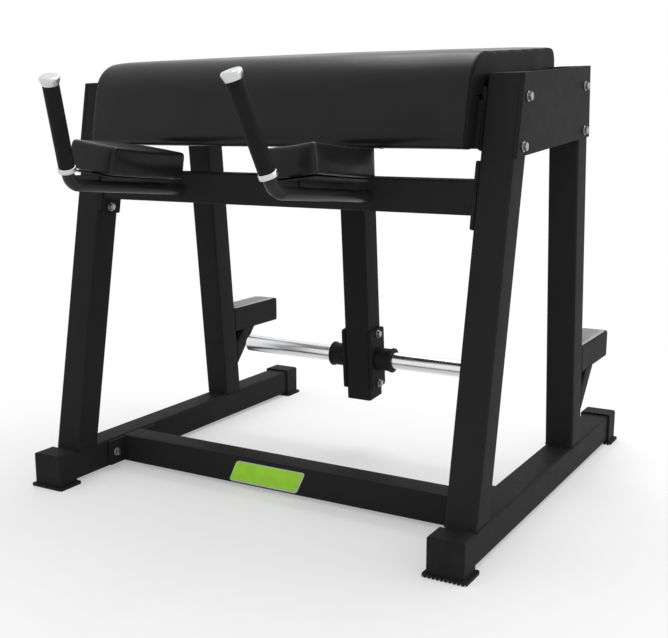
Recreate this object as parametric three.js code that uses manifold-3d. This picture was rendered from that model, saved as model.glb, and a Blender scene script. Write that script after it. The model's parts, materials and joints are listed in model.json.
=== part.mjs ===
// Reverse hyper machine: a padded bench on a four-legged tube frame, with a loaded pendulum under it.
// A user lies face down on the pad, holds the two handles at the front, and swings the pendulum with the
// legs behind the bench. Two steps on the rear legs help the user to climb on.
//
// Millimetres and degrees. X runs across the machine, Y from the handles to the steps, Z up.
// While the machine is built, Y is counted from the middle of the base. The last lines move its origin to
// the middle of the floor under it.
import * as THREE from "three";
import { mergeVertices } from "three/addons/utils/BufferGeometryUtils.js";
import Module from "manifold-3d";

// Square tube that the frame is welded from
const tube = 80;
const tubeWall = 3;
const tubeCorner = 6;
const flangeThickness = 8;
const flangeCorner = 5;
const ventDiameter = 24;

// Fits
const seatGap = 0.3;
const overrun = 20;

// Base
const baseWidth = 1280;
const baseLength = 1254;
const soleHeight = 10;
const baseTubeY = -312;
const baseFlangeLength = 214;
const baseFlangeHeight = 72;
const baseBoltSpacing = 154;

// Rubber feet
const footLength = 64;
const footWall = 6;
const footFlange = 9;
const footFlangeHeight = 8;
const footTopBevel = 9;
const footGroove = 4;
const footGrooveDepth = 3.5;
const footGrooves = 11;

// Legs: place of each leg's axis on top of the base, and its lean towards the middle of the machine
const frontLegY = -498.7;
const frontLegLean = 10.8;
const rearLegY = 220;
const rearLegLean = 5.2;

// Side plates and the line of the seat, which rises towards the back
const seatSlope = 4.3;
const platePeak = 1132;
const plateHeight = 183.5;
const plateThickness = 8;
const plateSetback = 12;
const seatFlangeHeight = 142;
const seatBoltSpacing = 113;
const frontBoltForward = 8;
const rearBoltForward = 18;

// Pad and its board
const padRise = 51;
const padThickness = 100;
const padLead = 70;
const padFoamFront = 50.2;
const padBottom = 934;
const padBack = 162;
const padEndGap = 3.5;
const padFrontRound = 98;
const padBackRound = 30;
const padHemRound = 22;
const padEndRound = 16;
const padCrown = 4;
const padDrawIn = 3;
const boardThickness = 18;
const frontBoardThickness = 12;
const boardInset = 5;
const boardEndGap = 16;

// Front beam between the front legs
const beamHeight = 829;
const beamFlangeHeight = 157;
const beamBoltSpacing = 130;

// Elbow rests and handles
const armSpread = 282;
const armTube = 30;
const armTubeWall = 2.5;
const armRise = 4.4;
const armBeamHeight = 824;
const armReach = 407;
const armBend = 44;
const handleLeanForward = 20.4;
const handleLeanIn = 9.5;
const handleLength = 257.7;
const gripLength = 194;
const gripDiameter = 38;
const gripRound = 2;
const collarDiameter = 42;
const collarLength = 13;
const collarRound = 1.5;
const capDiameter = 46;
const capLength = 17;
const capRim = 9;
const capRound = 3;
const elbowWidth = 146;
const elbowLength = 272;
const elbowThickness = 70;
const elbowRoll = 7.6;
const elbowOffset = 79;
const elbowRound = 10;
const elbowEndRound = 8;
const elbowCrown = 3;
const elbowDrawIn = 2;
const elbowPlateThickness = 5;
const elbowPlateInset = 14;
const elbowRiser = 12;
const elbowRiserWidth = 14;
const elbowRiserSetback = 24;

// Steps on the rear legs
const stepHeight = 378;
const stepReach = 495;
const stepEndWall = 3;
const braceDepth = 50;
const braceFootHeight = 186;
const braceReach = 112;
const treadLength = 234;
const treadWidth = 74;
const treadThickness = 3;
const treadCorner = 6;
const treadSetback = 6;

// Pivot under the rear cross member
const pivotDrop = 80;
const pivotForward = 28;
const hubDiameter = 60;
const hubLength = 100;
const shaftDiameter = 24;
const bushDiameter = 32;
const bushFlangeDiameter = 50;
const bushFlange = 4;
const bushDepth = 24;
const hangerThickness = 10;
const hangerRadius = 31;
const hangerWidth = 72;
const hangerClearance = 0.6;
const hangerArcStart = 190;
const hangerArcEnd = 345;

// Pendulum, which hangs slightly to the back because its hub sits behind the arm's axis
const pendulumLean = 4.9;
const hubOffset = 45;
const armTop = 4;
const armLength = 780;
const armTail = 125;
const hornDiameter = 50;
const hornWall = 4;
const hornSpan = 836;
const hornChamfer = 2;
const hornPlateWidth = 84;
const hornPlateHeight = 184;
const hornPlateThickness = 10;
const hornPlateCorner = 6;
const hornBoltSpacing = 156;
const bumperDiameter = 74;
const bumperNeck = 68;
const bumperLip = 11;
const bumperLength = 53;
const bumperRound = 6;

// Fasteners
const boltDiameter = 12;
const boltHeadFlats = 18;
const boltHeadHeight = 7.5;
const washerDiameter = 24;
const washerThickness = 2.5;
const boltHoleClearance = 0.4;
const boltBite = 14;

// Facets round curves
const roundSegments = 24;
const boreSegments = 14;
const smallSegments = 8;
const cornerSegments = 1;
const edgeSteps = 1;
const cushionSteps = 3;
const cushionEndSteps = 3;
const padStrips = 10;
const elbowStrips = 5;
const bendSegments = 8;

// Finishes
const finish = (color, roughness, metalness) => () =>
  new THREE.MeshStandardMaterial({ color, roughness, metalness });
const powderCoat = finish(0x202022, 0.55, 0.2);
const vinyl = finish(0x1c1c1e, 0.6, 0);
const rubber = finish(0x161616, 0.85, 0);
const chrome = finish(0xd5d7da, 0.12, 1);
const silver = finish(0xd9dadc, 0.3, 0.9);
const zinc = finish(0xa9acb0, 0.4, 0.9);
const plywood = finish(0x1f1d1b, 0.8, 0);
const gripTread = finish(0xa6a7a8, 0.7, 0.1);
const bronze = finish(0x9a7440, 0.4, 0.8);

const wasm = await Module();
wasm.setup();

const rad = THREE.MathUtils.degToRad;
const machine = new THREE.Group();

// Solids: geometry goes in to be joined or cut, and comes back as geometry
function toSolid(geometry, matrix) {
  const bare = geometry.clone();
  if (matrix) bare.applyMatrix4(matrix);
  bare.deleteAttribute("normal");
  bare.deleteAttribute("uv");
  const merged = mergeVertices(bare);
  const vertProperties = merged.attributes.position.array;
  const triVerts = new Uint32Array(merged.index.array);
  return new wasm.Manifold(new wasm.Mesh({ numProp: 3, vertProperties, triVerts }));
}

function toGeometry(solid) {
  const { vertProperties, triVerts } = solid.getMesh();
  const indexed = new THREE.BufferGeometry();
  indexed.setAttribute("position", new THREE.Float32BufferAttribute(vertProperties, 3));
  indexed.setIndex(new THREE.BufferAttribute(triVerts, 1));
  const geometry = indexed.toNonIndexed();
  geometry.computeVertexNormals();
  return geometry;
}

const move = (x, y, z) => new THREE.Matrix4().makeTranslation(x, y, z);
const turnX = (degrees) => new THREE.Matrix4().makeRotationX(rad(degrees));
const turnY = (degrees) => new THREE.Matrix4().makeRotationY(rad(degrees));
const turnZ = (degrees) => new THREE.Matrix4().makeRotationZ(rad(degrees));
const chain = (...steps) => steps.reduce((all, step) => all.multiply(step), new THREE.Matrix4());

// A named piece in a group. A solid made in the group's frame is handed over in the piece's own frame.
function piece(group, name, shape, material, place = new THREE.Matrix4()) {
  const isSolid = !shape.isBufferGeometry;
  const geometry = isSolid ? toGeometry(shape) : shape;
  if (isSolid) geometry.applyMatrix4(place.clone().invert());
  const mesh = new THREE.Mesh(geometry, material());
  mesh.name = name;
  mesh.applyMatrix4(place);
  group.add(mesh);
  return mesh;
}

// Outlines
function roundedRectangle(width, height, radius) {
  const x = width / 2;
  const y = height / 2;
  const shape = new THREE.Shape();
  shape.moveTo(x - radius, -y);
  shape.absarc(x - radius, radius - y, radius, -Math.PI / 2, 0);
  shape.absarc(x - radius, y - radius, radius, 0, Math.PI / 2);
  shape.absarc(radius - x, y - radius, radius, Math.PI / 2, Math.PI);
  shape.absarc(radius - x, radius - y, radius, Math.PI, Math.PI * 1.5);
  return shape;
}

const polygon = (points) => new THREE.Shape(points.map(([x, y]) => new THREE.Vector2(x, y)));

function extrude(shape, depth, segments = cornerSegments) {
  const geometry = new THREE.ExtrudeGeometry(shape, {
    depth,
    bevelEnabled: false,
    curveSegments: segments,
  });
  return geometry.translate(0, 0, -depth / 2);
}

// Turns an outline drawn in (Y, Z) and extruded along Z so that it lies across the machine
const sideways = new THREE.Matrix4().makeBasis(
  new THREE.Vector3(0, 1, 0),
  new THREE.Vector3(0, 0, 1),
  new THREE.Vector3(1, 0, 0),
);

// Plate or block with a (Y, Z) outline, centred on a place across the machine
const crossPlate = (points, thickness, x = 0) =>
  toSolid(extrude(polygon(points), thickness), chain(move(x, 0, 0), sideways));

// Lines in the (Y, Z) plane, as a point and a direction
const lineThrough = (y, z, dy, dz) => ({ y, z, dy, dz });
const pointOn = (line, height) => [line.y + ((height - line.z) * line.dy) / line.dz, height];

function crossing(a, b) {
  const det = a.dz * b.dy - a.dy * b.dz;
  const t = ((b.y - a.y) * -b.dz + (b.z - a.z) * b.dy) / det;
  return [a.y + t * a.dy, a.z + t * a.dz];
}

// Length of square tube along Z, centred on the origin, open at both ends
function tubeBlank(length, size = tube, depth = size, wall = tubeWall) {
  const outline = roundedRectangle(size, depth, tubeCorner);
  const bore = roundedRectangle(size - wall * 2, depth - wall * 2, tubeCorner - wall);
  outline.holes.push(bore);
  return extrude(outline, length);
}

// Same tube without its bore, which cuts the room for a tube in another piece
const tubeCore = (length, size = tube, depth = size) =>
  extrude(roundedRectangle(size, depth, tubeCorner), length);

const rod = (diameter, length, segments = boreSegments) =>
  new THREE.CylinderGeometry(diameter / 2, diameter / 2, length, segments).rotateX(Math.PI / 2);

// Rod that lies across the machine
const crossRod = (diameter, length, x, y, z, segments) =>
  toSolid(rod(diameter, length, segments), chain(move(x, y, z), turnY(90)));

const union = (solids) => solids.reduce((all, solid) => all.add(solid));

// Turned piece from an outline of [radius, height] points, closed on itself
const turned = (points, segments = roundSegments) =>
  new THREE.LatheGeometry(
    [...points, points[0]].map(([r, z]) => new THREE.Vector2(r, z)),
    segments,
  ).rotateX(Math.PI / 2);

// Points of a quarter circle, from one angle to another, round a centre
function arcPoints(cx, cy, radius, from, to, steps = edgeSteps) {
  return Array.from({ length: steps + 1 }, (_, i) => {
    const angle = rad(from + ((to - from) * i) / steps);
    return [cx + radius * Math.cos(angle), cy + radius * Math.sin(angle)];
  });
}

// Heights and planes that several pieces share
const runnerX = (baseWidth - tube) / 2;
const innerX = baseWidth / 2 - tube;
const runnerTop = soleHeight + tube;
const seatRise = Math.tan(rad(seatSlope));
const seatCos = Math.cos(rad(seatSlope));
const seatLine = (height) => lineThrough(0, height, 1, seatRise);
const plateTop = seatLine(platePeak);
const plateBottom = seatLine(platePeak - plateHeight);
const padTop = seatLine(platePeak + padRise);
const boardTop = seatLine(padTop.z - padThickness / seatCos);
const memberAxis = seatLine(boardTop.z - (boardThickness + seatGap * 2 + tube / 2) / seatCos);

function legFrame(y, lean, boltForward) {
  const slope = Math.tan(rad(lean));
  const half = tube / 2 / Math.cos(rad(lean));
  return {
    lean,
    boltForward,
    axis: lineThrough(y, runnerTop, slope, 1),
    front: lineThrough(y - half, runnerTop, slope, 1),
    back: lineThrough(y + half, runnerTop, slope, 1),
  };
}
const frontLeg = legFrame(frontLegY, frontLegLean, frontBoltForward);
const rearLeg = legFrame(rearLegY, -rearLegLean, rearBoltForward);
const alongLeg = (leg, [y, z], distance) => [
  y + distance * Math.sin(rad(leg.lean)),
  z + distance * Math.cos(rad(leg.lean)),
];
const frontMember = crossing(frontLeg.axis, memberAxis);
const rearMember = crossing(rearLeg.axis, memberAxis);

// Fasteners
const hexagon = (height) =>
  new THREE.CylinderGeometry(
    boltHeadFlats / Math.sqrt(3),
    boltHeadFlats / Math.sqrt(3),
    height,
    6,
  ).rotateX(Math.PI / 2);

// Bolt along Z: its washer seats at z = 0 under a head above it, and a nut closes the grip if asked
function bolt(grip, withNut) {
  const tail = withNut ? boltHeadHeight + washerThickness * 2 : 0;
  const head = washerThickness + boltHeadHeight;
  const shankLength = head + grip + tail;
  const parts = [
    toSolid(rod(boltDiameter, shankLength, smallSegments), move(0, 0, head - shankLength / 2)),
    toSolid(rod(washerDiameter, washerThickness), move(0, 0, washerThickness / 2)),
    toSolid(hexagon(boltHeadHeight), move(0, 0, washerThickness + boltHeadHeight / 2)),
  ];
  if (withNut) {
    const nutZ = -grip - washerThickness - boltHeadHeight / 2;
    parts.push(
      toSolid(rod(washerDiameter, washerThickness), move(0, 0, -grip - washerThickness / 2)),
      toSolid(hexagon(boltHeadHeight), move(0, 0, nutZ)),
    );
  }
  return toGeometry(union(parts));
}

// Holes across the machine for bolts at the given (Y, Z) places
const boltHoles = (places, length, x) =>
  union(
    places.map(([y, z]) =>
      crossRod(boltDiameter + boltHoleClearance * 2, length, x, y, z, smallSegments),
    ),
  );

const sideNames = [
  ["left", -1],
  ["right", 1],
];

// Base: two runners and the tube that joins them
const runnerLength = baseLength - (footFlange + footWall + seatGap) * 2;
const baseBolts = [-1, 1].map((end) => [
  baseTubeY + (end * baseBoltSpacing) / 2,
  soleHeight + tube / 2,
]);
const seatBolts = (leg, [y, z]) =>
  [-1, 1].map((end) => alongLeg(leg, [y - leg.boltForward, z], (end * seatBoltSpacing) / 2));
const beamCentre = pointOn(frontLeg.axis, beamHeight);
const beamBolts = [-1, 1].map((end) =>
  alongLeg(frontLeg, beamCentre, (end * beamBoltSpacing) / 2),
);

function runner(side) {
  const place = chain(move(side * runnerX, 0, soleHeight + tube / 2), turnX(90));
  const holes = boltHoles(baseBolts, tubeWall * 4, side * innerX);
  return [toSolid(tubeBlank(runnerLength), place).subtract(holes), place];
}

// Cross tube with a vented flange plate welded on each end. The tube turns with its place, and the flanges
// keep the lean that their legs have.
function flangedTube(place, flange, lean) {
  const length = (innerX - seatGap - flangeThickness / 2) * 2;
  const centre = new THREE.Vector3().setFromMatrixPosition(place);
  const flanges = sideNames.map(([, side]) =>
    toSolid(
      flange,
      chain(move((side * length) / 2, centre.y, centre.z), turnX(-lean), sideways),
    ),
  );
  const vent = crossRod(ventDiameter, baseWidth, 0, centre.y, centre.z);
  const blank = toSolid(tubeBlank(length), chain(place, turnY(90)));
  return union([blank, ...flanges]).subtract(vent);
}

// Rubber foot on a runner's end. It is made with its closed end towards -Y and the runner's axis at x = 0.
function foot() {
  const width = tube + (footWall + seatGap) * 2;
  const top = runnerTop + footWall + seatGap;
  const closedEnd = footFlange - baseLength / 2;
  const openEnd = closedEnd + footLength;
  const middle = (closedEnd + openEnd) / 2;
  const body = toSolid(
    extrude(roundedRectangle(width, top, tubeCorner), footLength),
    chain(move(0, middle, top / 2), turnX(90)),
  );
  const bevel = crossPlate(
    [
      [closedEnd - overrun, top + overrun],
      [closedEnd - overrun, top - footTopBevel - overrun / 2],
      [closedEnd + footTopBevel + overrun / 2, top + overrun],
    ],
    width + overrun,
  );
  const sole = toSolid(
    extrude(
      roundedRectangle(width + footFlange * 2, footLength + footFlange * 2, tubeCorner),
      footFlangeHeight,
    ),
    move(0, middle, footFlangeHeight / 2),
  );
  const pocketEnd = closedEnd + footWall;
  const pocketLength = runnerLength;
  const pocket = toSolid(
    tubeCore(pocketLength, tube + seatGap * 2),
    chain(move(0, pocketEnd + pocketLength / 2, soleHeight + tube / 2), turnX(90)),
  );
  const pitch = (width + footFlange) / (footGrooves - 1);
  const groove = new THREE.BoxGeometry(footGroove, footLength * 2, footGrooveDepth * 2);
  const grooves = Array.from({ length: footGrooves }, (_, i) =>
    toSolid(groove, move((i - (footGrooves - 1) / 2) * pitch, middle, 0)),
  );
  return body.subtract(bevel).add(sole).subtract(pocket).subtract(union(grooves));
}

function buildBase() {
  for (const [name, side] of sideNames) {
    const [solid, place] = runner(side);
    piece(machine, `base_runner_${name}`, solid, powderCoat, place);
    const shape = toGeometry(foot());
    for (const [end, angle] of [
      ["front", 0],
      ["rear", 180],
    ]) {
      const footPlace = chain(move(side * runnerX, 0, 0), turnZ(angle));
      piece(machine, `foot_${end}_${name}`, shape, rubber, footPlace);
    }
  }
  const flange = extrude(
    roundedRectangle(baseFlangeLength, baseFlangeHeight, flangeCorner),
    flangeThickness,
  );
  const place = move(0, baseTubeY, soleHeight + tube / 2);
  const crossTube = flangedTube(place, flange, 0).subtract(boltHoles(baseBolts, baseWidth, 0));
  piece(machine, "base_cross_tube", crossTube, powderCoat, place);
}

// Legs: tube between the runner and the line of the seat, closed on top
function legSolid(leg, side) {
  const bottom = runnerTop + seatGap;
  const reach = (platePeak + overrun) * 2;
  const placeAxis = chain(move(side * runnerX, leg.axis.y, leg.axis.z), turnX(-leg.lean));
  const outer = toSolid(tubeCore(reach), placeAxis);
  const inner = toSolid(
    extrude(roundedRectangle(tube - tubeWall * 2, tube - tubeWall * 2, tubeCorner - tubeWall), reach),
    placeAxis,
  );
  const slab = (roof) =>
    crossPlate(
      [
        [-baseLength, bottom],
        [baseLength, bottom],
        [baseLength, roof.z + baseLength * seatRise],
        [-baseLength, roof.z - baseLength * seatRise],
      ],
      baseWidth + overrun,
    );
  const ceiling = seatLine(platePeak - tubeWall);
  const room = slab(ceiling).add(slab(ceiling).translate([0, 0, -overrun]));
  return [outer.intersect(slab(plateTop)).subtract(inner.intersect(room)), placeAxis];
}

function buildLegs() {
  const plateBack = lineThrough(rearLeg.back.y - plateSetback, rearLeg.back.z, rearLeg.back.dy, 1);
  const frontBoltPlaces = seatBolts(frontLeg, frontMember);
  const rearBoltPlaces = seatBolts(rearLeg, rearMember);
  for (const [name, side] of sideNames) {
    const outside = boltHoles([...frontBoltPlaces, ...rearBoltPlaces], tube * 2, side * runnerX);
    const inside = boltHoles(beamBolts, tubeWall * 4, side * innerX);
    const [front, frontPlace] = legSolid(frontLeg, side);
    const [rear, rearPlace] = legSolid(rearLeg, side);
    const frontCut = front.subtract(outside).subtract(inside);
    piece(machine, `front_leg_${name}`, frontCut, powderCoat, frontPlace);
    piece(machine, `rear_leg_${name}`, rear.subtract(outside), powderCoat, rearPlace);

    const plateX = side * (baseWidth / 2 + seatGap + plateThickness / 2);
    const plate = crossPlate(
      [
        crossing(frontLeg.front, plateBottom),
        crossing(plateBack, plateBottom),
        crossing(plateBack, plateTop),
        crossing(frontLeg.front, plateTop),
      ],
      plateThickness,
      plateX,
    );
    const place = move(plateX, 0, platePeak - plateHeight / 2);
    piece(machine, `side_plate_${name}`, plate.subtract(outside), powderCoat, place);
  }
}

// Cross tubes between the legs
function buildCrossTubes() {
  const seatFlange = extrude(
    roundedRectangle(tube, seatFlangeHeight, flangeCorner),
    flangeThickness,
  );
  for (const [name, leg, member] of [
    ["front_cross_member", frontLeg, frontMember],
    ["rear_cross_member", rearLeg, rearMember],
  ]) {
    const place = chain(move(0, ...member), turnX(seatSlope));
    const holes = boltHoles(seatBolts(leg, member), baseWidth, 0);
    const crossTube = flangedTube(place, seatFlange, leg.lean).subtract(holes);
    piece(machine, name, crossTube, powderCoat, place);
  }
  const beamFlange = extrude(
    roundedRectangle(tube, beamFlangeHeight, flangeCorner),
    flangeThickness,
  );
  const place = move(0, ...beamCentre);
  const holes = boltHoles(beamBolts, baseWidth, 0);
  const beam = flangedTube(place, beamFlange, frontLegLean).subtract(holes);
  piece(machine, "front_beam", beam, powderCoat, place);
}

function buildFasteners() {
  // Seat bolts are screwed into the flanges of the cross members, which leaves the pad's ends free
  const seatBolt = bolt(plateThickness + tube + flangeThickness + seatGap * 2, false);
  const shortBolt = bolt(flangeThickness + seatGap * 2 + tubeWall + boltBite, false);
  const ends = ["lower", "upper"];
  for (const [name, side] of sideNames) {
    const outward = side * 90;
    const seatX = side * (baseWidth / 2 + plateThickness + seatGap * 2);
    for (const [row, leg, member] of [
      ["front", frontLeg, frontMember],
      ["rear", rearLeg, rearMember],
    ]) {
      seatBolts(leg, member).forEach(([y, z], i) => {
        const place = chain(move(seatX, y, z), turnY(outward));
        piece(machine, `seat_bolt_${row}_${ends[i]}_${name}`, seatBolt, zinc, place);
      });
    }
    const flangeX = side * (innerX - flangeThickness - seatGap * 2);
    beamBolts.forEach(([y, z], i) => {
      const place = chain(move(flangeX, y, z), turnY(-outward));
      piece(machine, `beam_bolt_${ends[i]}_${name}`, shortBolt, zinc, place);
    });
    baseBolts.forEach(([y, z], i) => {
      const place = chain(move(flangeX, y, z), turnY(-outward));
      piece(machine, `base_bolt_${["front", "rear"][i]}_${name}`, shortBolt, zinc, place);
    });
  }
}

// Outline helpers for cushions: a straight side with points that bulge outwards by a small height
function sidePoints([y0, z0], [y1, z1], count, bulge) {
  const length = Math.hypot(y1 - y0, z1 - z0);
  const normal = [(z1 - z0) / length, (y0 - y1) / length];
  return Array.from({ length: count + 1 }, (_, i) => {
    const t = i / count;
    const rise = bulge * 4 * t * (1 - t);
    return {
      at: [y0 + (y1 - y0) * t, z0 + (z1 - z0) * t],
      out: normal,
      rise,
      cover: true,
    };
  });
}

// Round corner of a cushion, between two straight sides that meet at a point
function roundCorner(before, corner, after, radius, steps) {
  const unit = ([ay, az], [by, bz]) => {
    const length = Math.hypot(by - ay, bz - az);
    return [(by - ay) / length, (bz - az) / length];
  };
  const u = unit(corner, before);
  const v = unit(corner, after);
  const half = Math.acos(u[0] * v[0] + u[1] * v[1]) / 2;
  const tangent = radius / Math.tan(half);
  const along = [u[0] + v[0], u[1] + v[1]];
  const size = Math.hypot(...along);
  const reach = radius / Math.sin(half);
  const centre = [
    corner[0] + (along[0] / size) * reach,
    corner[1] + (along[1] / size) * reach,
  ];
  const start = [corner[0] + u[0] * tangent, corner[1] + u[1] * tangent];
  const end = [corner[0] + v[0] * tangent, corner[1] + v[1] * tangent];
  const from = Math.atan2(start[1] - centre[1], start[0] - centre[0]);
  let sweep = Math.atan2(end[1] - centre[1], end[0] - centre[0]) - from;
  if (sweep > Math.PI) sweep -= Math.PI * 2;
  if (sweep < -Math.PI) sweep += Math.PI * 2;
  const points = Array.from({ length: steps - 1 }, (_, i) => {
    const angle = from + (sweep * (i + 1)) / steps;
    const out = [Math.cos(angle), Math.sin(angle)];
    return {
      at: [centre[0] + radius * out[0], centre[1] + radius * out[1]],
      out,
      rise: 0,
      cover: true,
    };
  });
  return { start, end, points };
}

// Cushion lofted along X from one (Y, Z) outline. Its ends are rounded, its cover bulges in the middle
// and its ends draw in, while the sides that lie on a board stay flat and reach to the board's ends.
function cushion(outline, halfLength, boardHalf, endRound, drawIn, middles) {
  const stations = [];
  for (let i = 0; i <= cushionEndSteps; i++) {
    const angle = (Math.PI / 2) * (i / cushionEndSteps);
    stations.push([halfLength - endRound * (1 - Math.sin(angle)), endRound * (1 - Math.cos(angle))]);
  }
  stations.reverse();
  const inner = halfLength - endRound;
  const middle = Array.from({ length: middles - 1 }, (_, i) => [
    inner * (1 - (2 * (i + 1)) / middles),
    0,
  ]);
  const all = [...stations, ...middle, ...stations.map(([x, inset]) => [-x, inset]).reverse()];
  const rings = all.map(([x, inset]) => {
    const share = 1 - (x / halfLength) ** 2;
    return outline.map(({ at, out, rise, cover }) => {
      const shift = cover ? rise * share - inset : 0;
      const reach = cover ? x : (x * boardHalf) / halfLength;
      return [reach, at[0] + out[0] * shift, at[1] + out[1] * shift];
    });
  });
  const count = outline.length;
  const positions = rings.flat(2);
  const index = [];
  for (let r = 0; r + 1 < rings.length; r++) {
    for (let i = 0; i < count; i++) {
      const j = (i + 1) % count;
      const [a, b] = [r * count + i, r * count + j];
      const [c, d] = [a + count, b + count];
      index.push(a, c, b, b, c, d);
    }
  }
  const flat = (ring) => ring.map(([, y, z]) => new THREE.Vector2(y, z));
  const first = THREE.ShapeUtils.triangulateShape(flat(rings[0]), []);
  const last = (rings.length - 1) * count;
  for (const [a, b, c] of first) {
    index.push(a, b, c);
    index.push(last + a, last + c, last + b);
  }
  const geometry = new THREE.BufferGeometry();
  geometry.setAttribute("position", new THREE.Float32BufferAttribute(positions, 3));
  geometry.setIndex(index);
  return drawEnds(geometry, halfLength, drawIn);
}

// Draws the flat ends of a cushion in, most at mid height
function drawEnds(geometry, halfLength, drawIn) {
  const position = geometry.attributes.position;
  for (let i = 0; i < position.count; i++) {
    const x = position.getX(i);
    const share = (Math.abs(x) / halfLength) ** 8;
    position.setX(i, x - Math.sign(x) * drawIn * share);
  }
  return geometry.toNonIndexed();
}

// Lines in front of the front legs that the pad's front and its board follow
function beforeLegs(distance) {
  const shift = distance / Math.cos(rad(frontLegLean));
  return lineThrough(frontLeg.front.y - shift, frontLeg.front.z, frontLeg.front.dy, 1);
}

function buildPad() {
  const front = beforeLegs(padLead);
  const foamBack = beforeLegs(padLead - padFoamFront);
  const back = lineThrough(padBack, padTop.z, -seatRise, 1);
  const half = innerX - padEndGap;
  const boardHalf = innerX - boardEndGap;
  const hem = pointOn(front, padBottom);
  const hemInner = pointOn(foamBack, padBottom);
  const topFront = crossing(front, padTop);
  const topBack = crossing(back, padTop);
  const backBottom = crossing(back, boardTop);
  const inner = crossing(foamBack, boardTop);

  const hemCorner = roundCorner(hemInner, hem, topFront, padHemRound, cushionSteps);
  const frontCorner = roundCorner(hem, topFront, topBack, padFrontRound, cushionSteps * 3);
  const backCorner = roundCorner(topFront, topBack, backBottom, padBackRound, cushionSteps * 2);
  // The outline runs against the clock from the inner corner of the board
  const outline = [
    { at: inner, out: [0, 0], rise: 0, cover: false },
    { at: backBottom, out: [0, 0], rise: 0, cover: false },
    ...sidePoints(backBottom, backCorner.end, 3, -padDrawIn).slice(1),
    ...[...backCorner.points].reverse(),
    ...sidePoints(backCorner.start, frontCorner.end, 12, padCrown),
    ...[...frontCorner.points].reverse(),
    ...sidePoints(frontCorner.start, hemCorner.end, 4, -padDrawIn),
    ...[...hemCorner.points].reverse(),
    { at: hemCorner.start, out: [0, -1], rise: 0, cover: false },
    { at: hemInner, out: [0, -1], rise: 0, cover: false },
  ];
  const place = move(0, 0, padTop.z);
  const geometry = cushion(outline, half, boardHalf, padEndRound, padDrawIn, padStrips);
  piece(machine, "main_pad", toSolid(geometry), vinyl, place);

  const boardFace = seatLine(boardTop.z - seatGap / seatCos);
  const boardUnder = seatLine(boardFace.z - boardThickness / seatCos);
  const boardFront = beforeLegs(padLead - padFoamFront - seatGap);
  const boardInner = beforeLegs(padLead - padFoamFront - seatGap - frontBoardThickness);
  const boardBack = lineThrough(padBack - boardInset, padTop.z, -seatRise, 1);
  const board = crossPlate(
    [
      pointOn(boardFront, padBottom + boardInset),
      pointOn(boardInner, padBottom + boardInset),
      crossing(boardInner, boardUnder),
      crossing(boardBack, boardUnder),
      crossing(boardBack, boardFace),
      crossing(boardFront, boardFace),
    ],
    boardHalf * 2,
  );
  piece(machine, "pad_board", board, plywood, move(0, 0, boardFace.z));
}

// Centre line of a bent tube. Its stations keep straight runs in one step and bends in several.
class BentLine extends THREE.Curve {
  constructor(stations) {
    super();
    this.stations = stations;
  }
  getPoint(t, target = new THREE.Vector3()) {
    const last = this.stations.length - 1;
    const i = Math.min(Math.floor(t * last), last - 1);
    return target.lerpVectors(this.stations[i], this.stations[i + 1], t * last - i);
  }
  getPointAt(u, target) {
    return this.getPoint(u, target);
  }
  getSpacedPoints(divisions) {
    return this.getPoints(divisions);
  }
  getTangentAt(u, target = new THREE.Vector3()) {
    const last = this.stations.length - 1;
    const i = Math.round(u * last);
    const ahead = this.stations[Math.min(i + 1, last)];
    const behind = this.stations[Math.max(i - 1, 0)];
    return target.subVectors(ahead, behind).normalize();
  }
}

// Stations of a run that leaves start towards corner, bends there and goes on to end
function bentStations(start, corner, end, radius, steps) {
  const u = start.clone().sub(corner).normalize();
  const v = end.clone().sub(corner).normalize();
  const half = u.angleTo(v) / 2;
  const tangent = radius / Math.tan(half);
  const middle = u.clone().add(v).normalize();
  const centre = corner.clone().addScaledVector(middle, radius / Math.sin(half));
  const from = corner.clone().addScaledVector(u, tangent).sub(centre);
  const to = corner.clone().addScaledVector(v, tangent).sub(centre);
  const axis = from.clone().cross(to).normalize();
  const angle = from.angleTo(to);
  const bend = Array.from({ length: steps + 1 }, (_, i) =>
    from.clone().applyAxisAngle(axis, (angle * i) / steps).add(centre),
  );
  return [start, ...bend, end];
}

// Elbow rest and handle of one side
const armLine = {
  back: -Math.cos(rad(armRise)),
  up: Math.sin(rad(armRise)),
};
const beamFrontY = beamCentre[0] - tube / 2;

function handleDirection(side) {
  const up = new THREE.Vector3(
    -side * Math.tan(rad(handleLeanIn)),
    -Math.tan(rad(handleLeanForward)),
    1,
  );
  return up.normalize();
}

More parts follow.
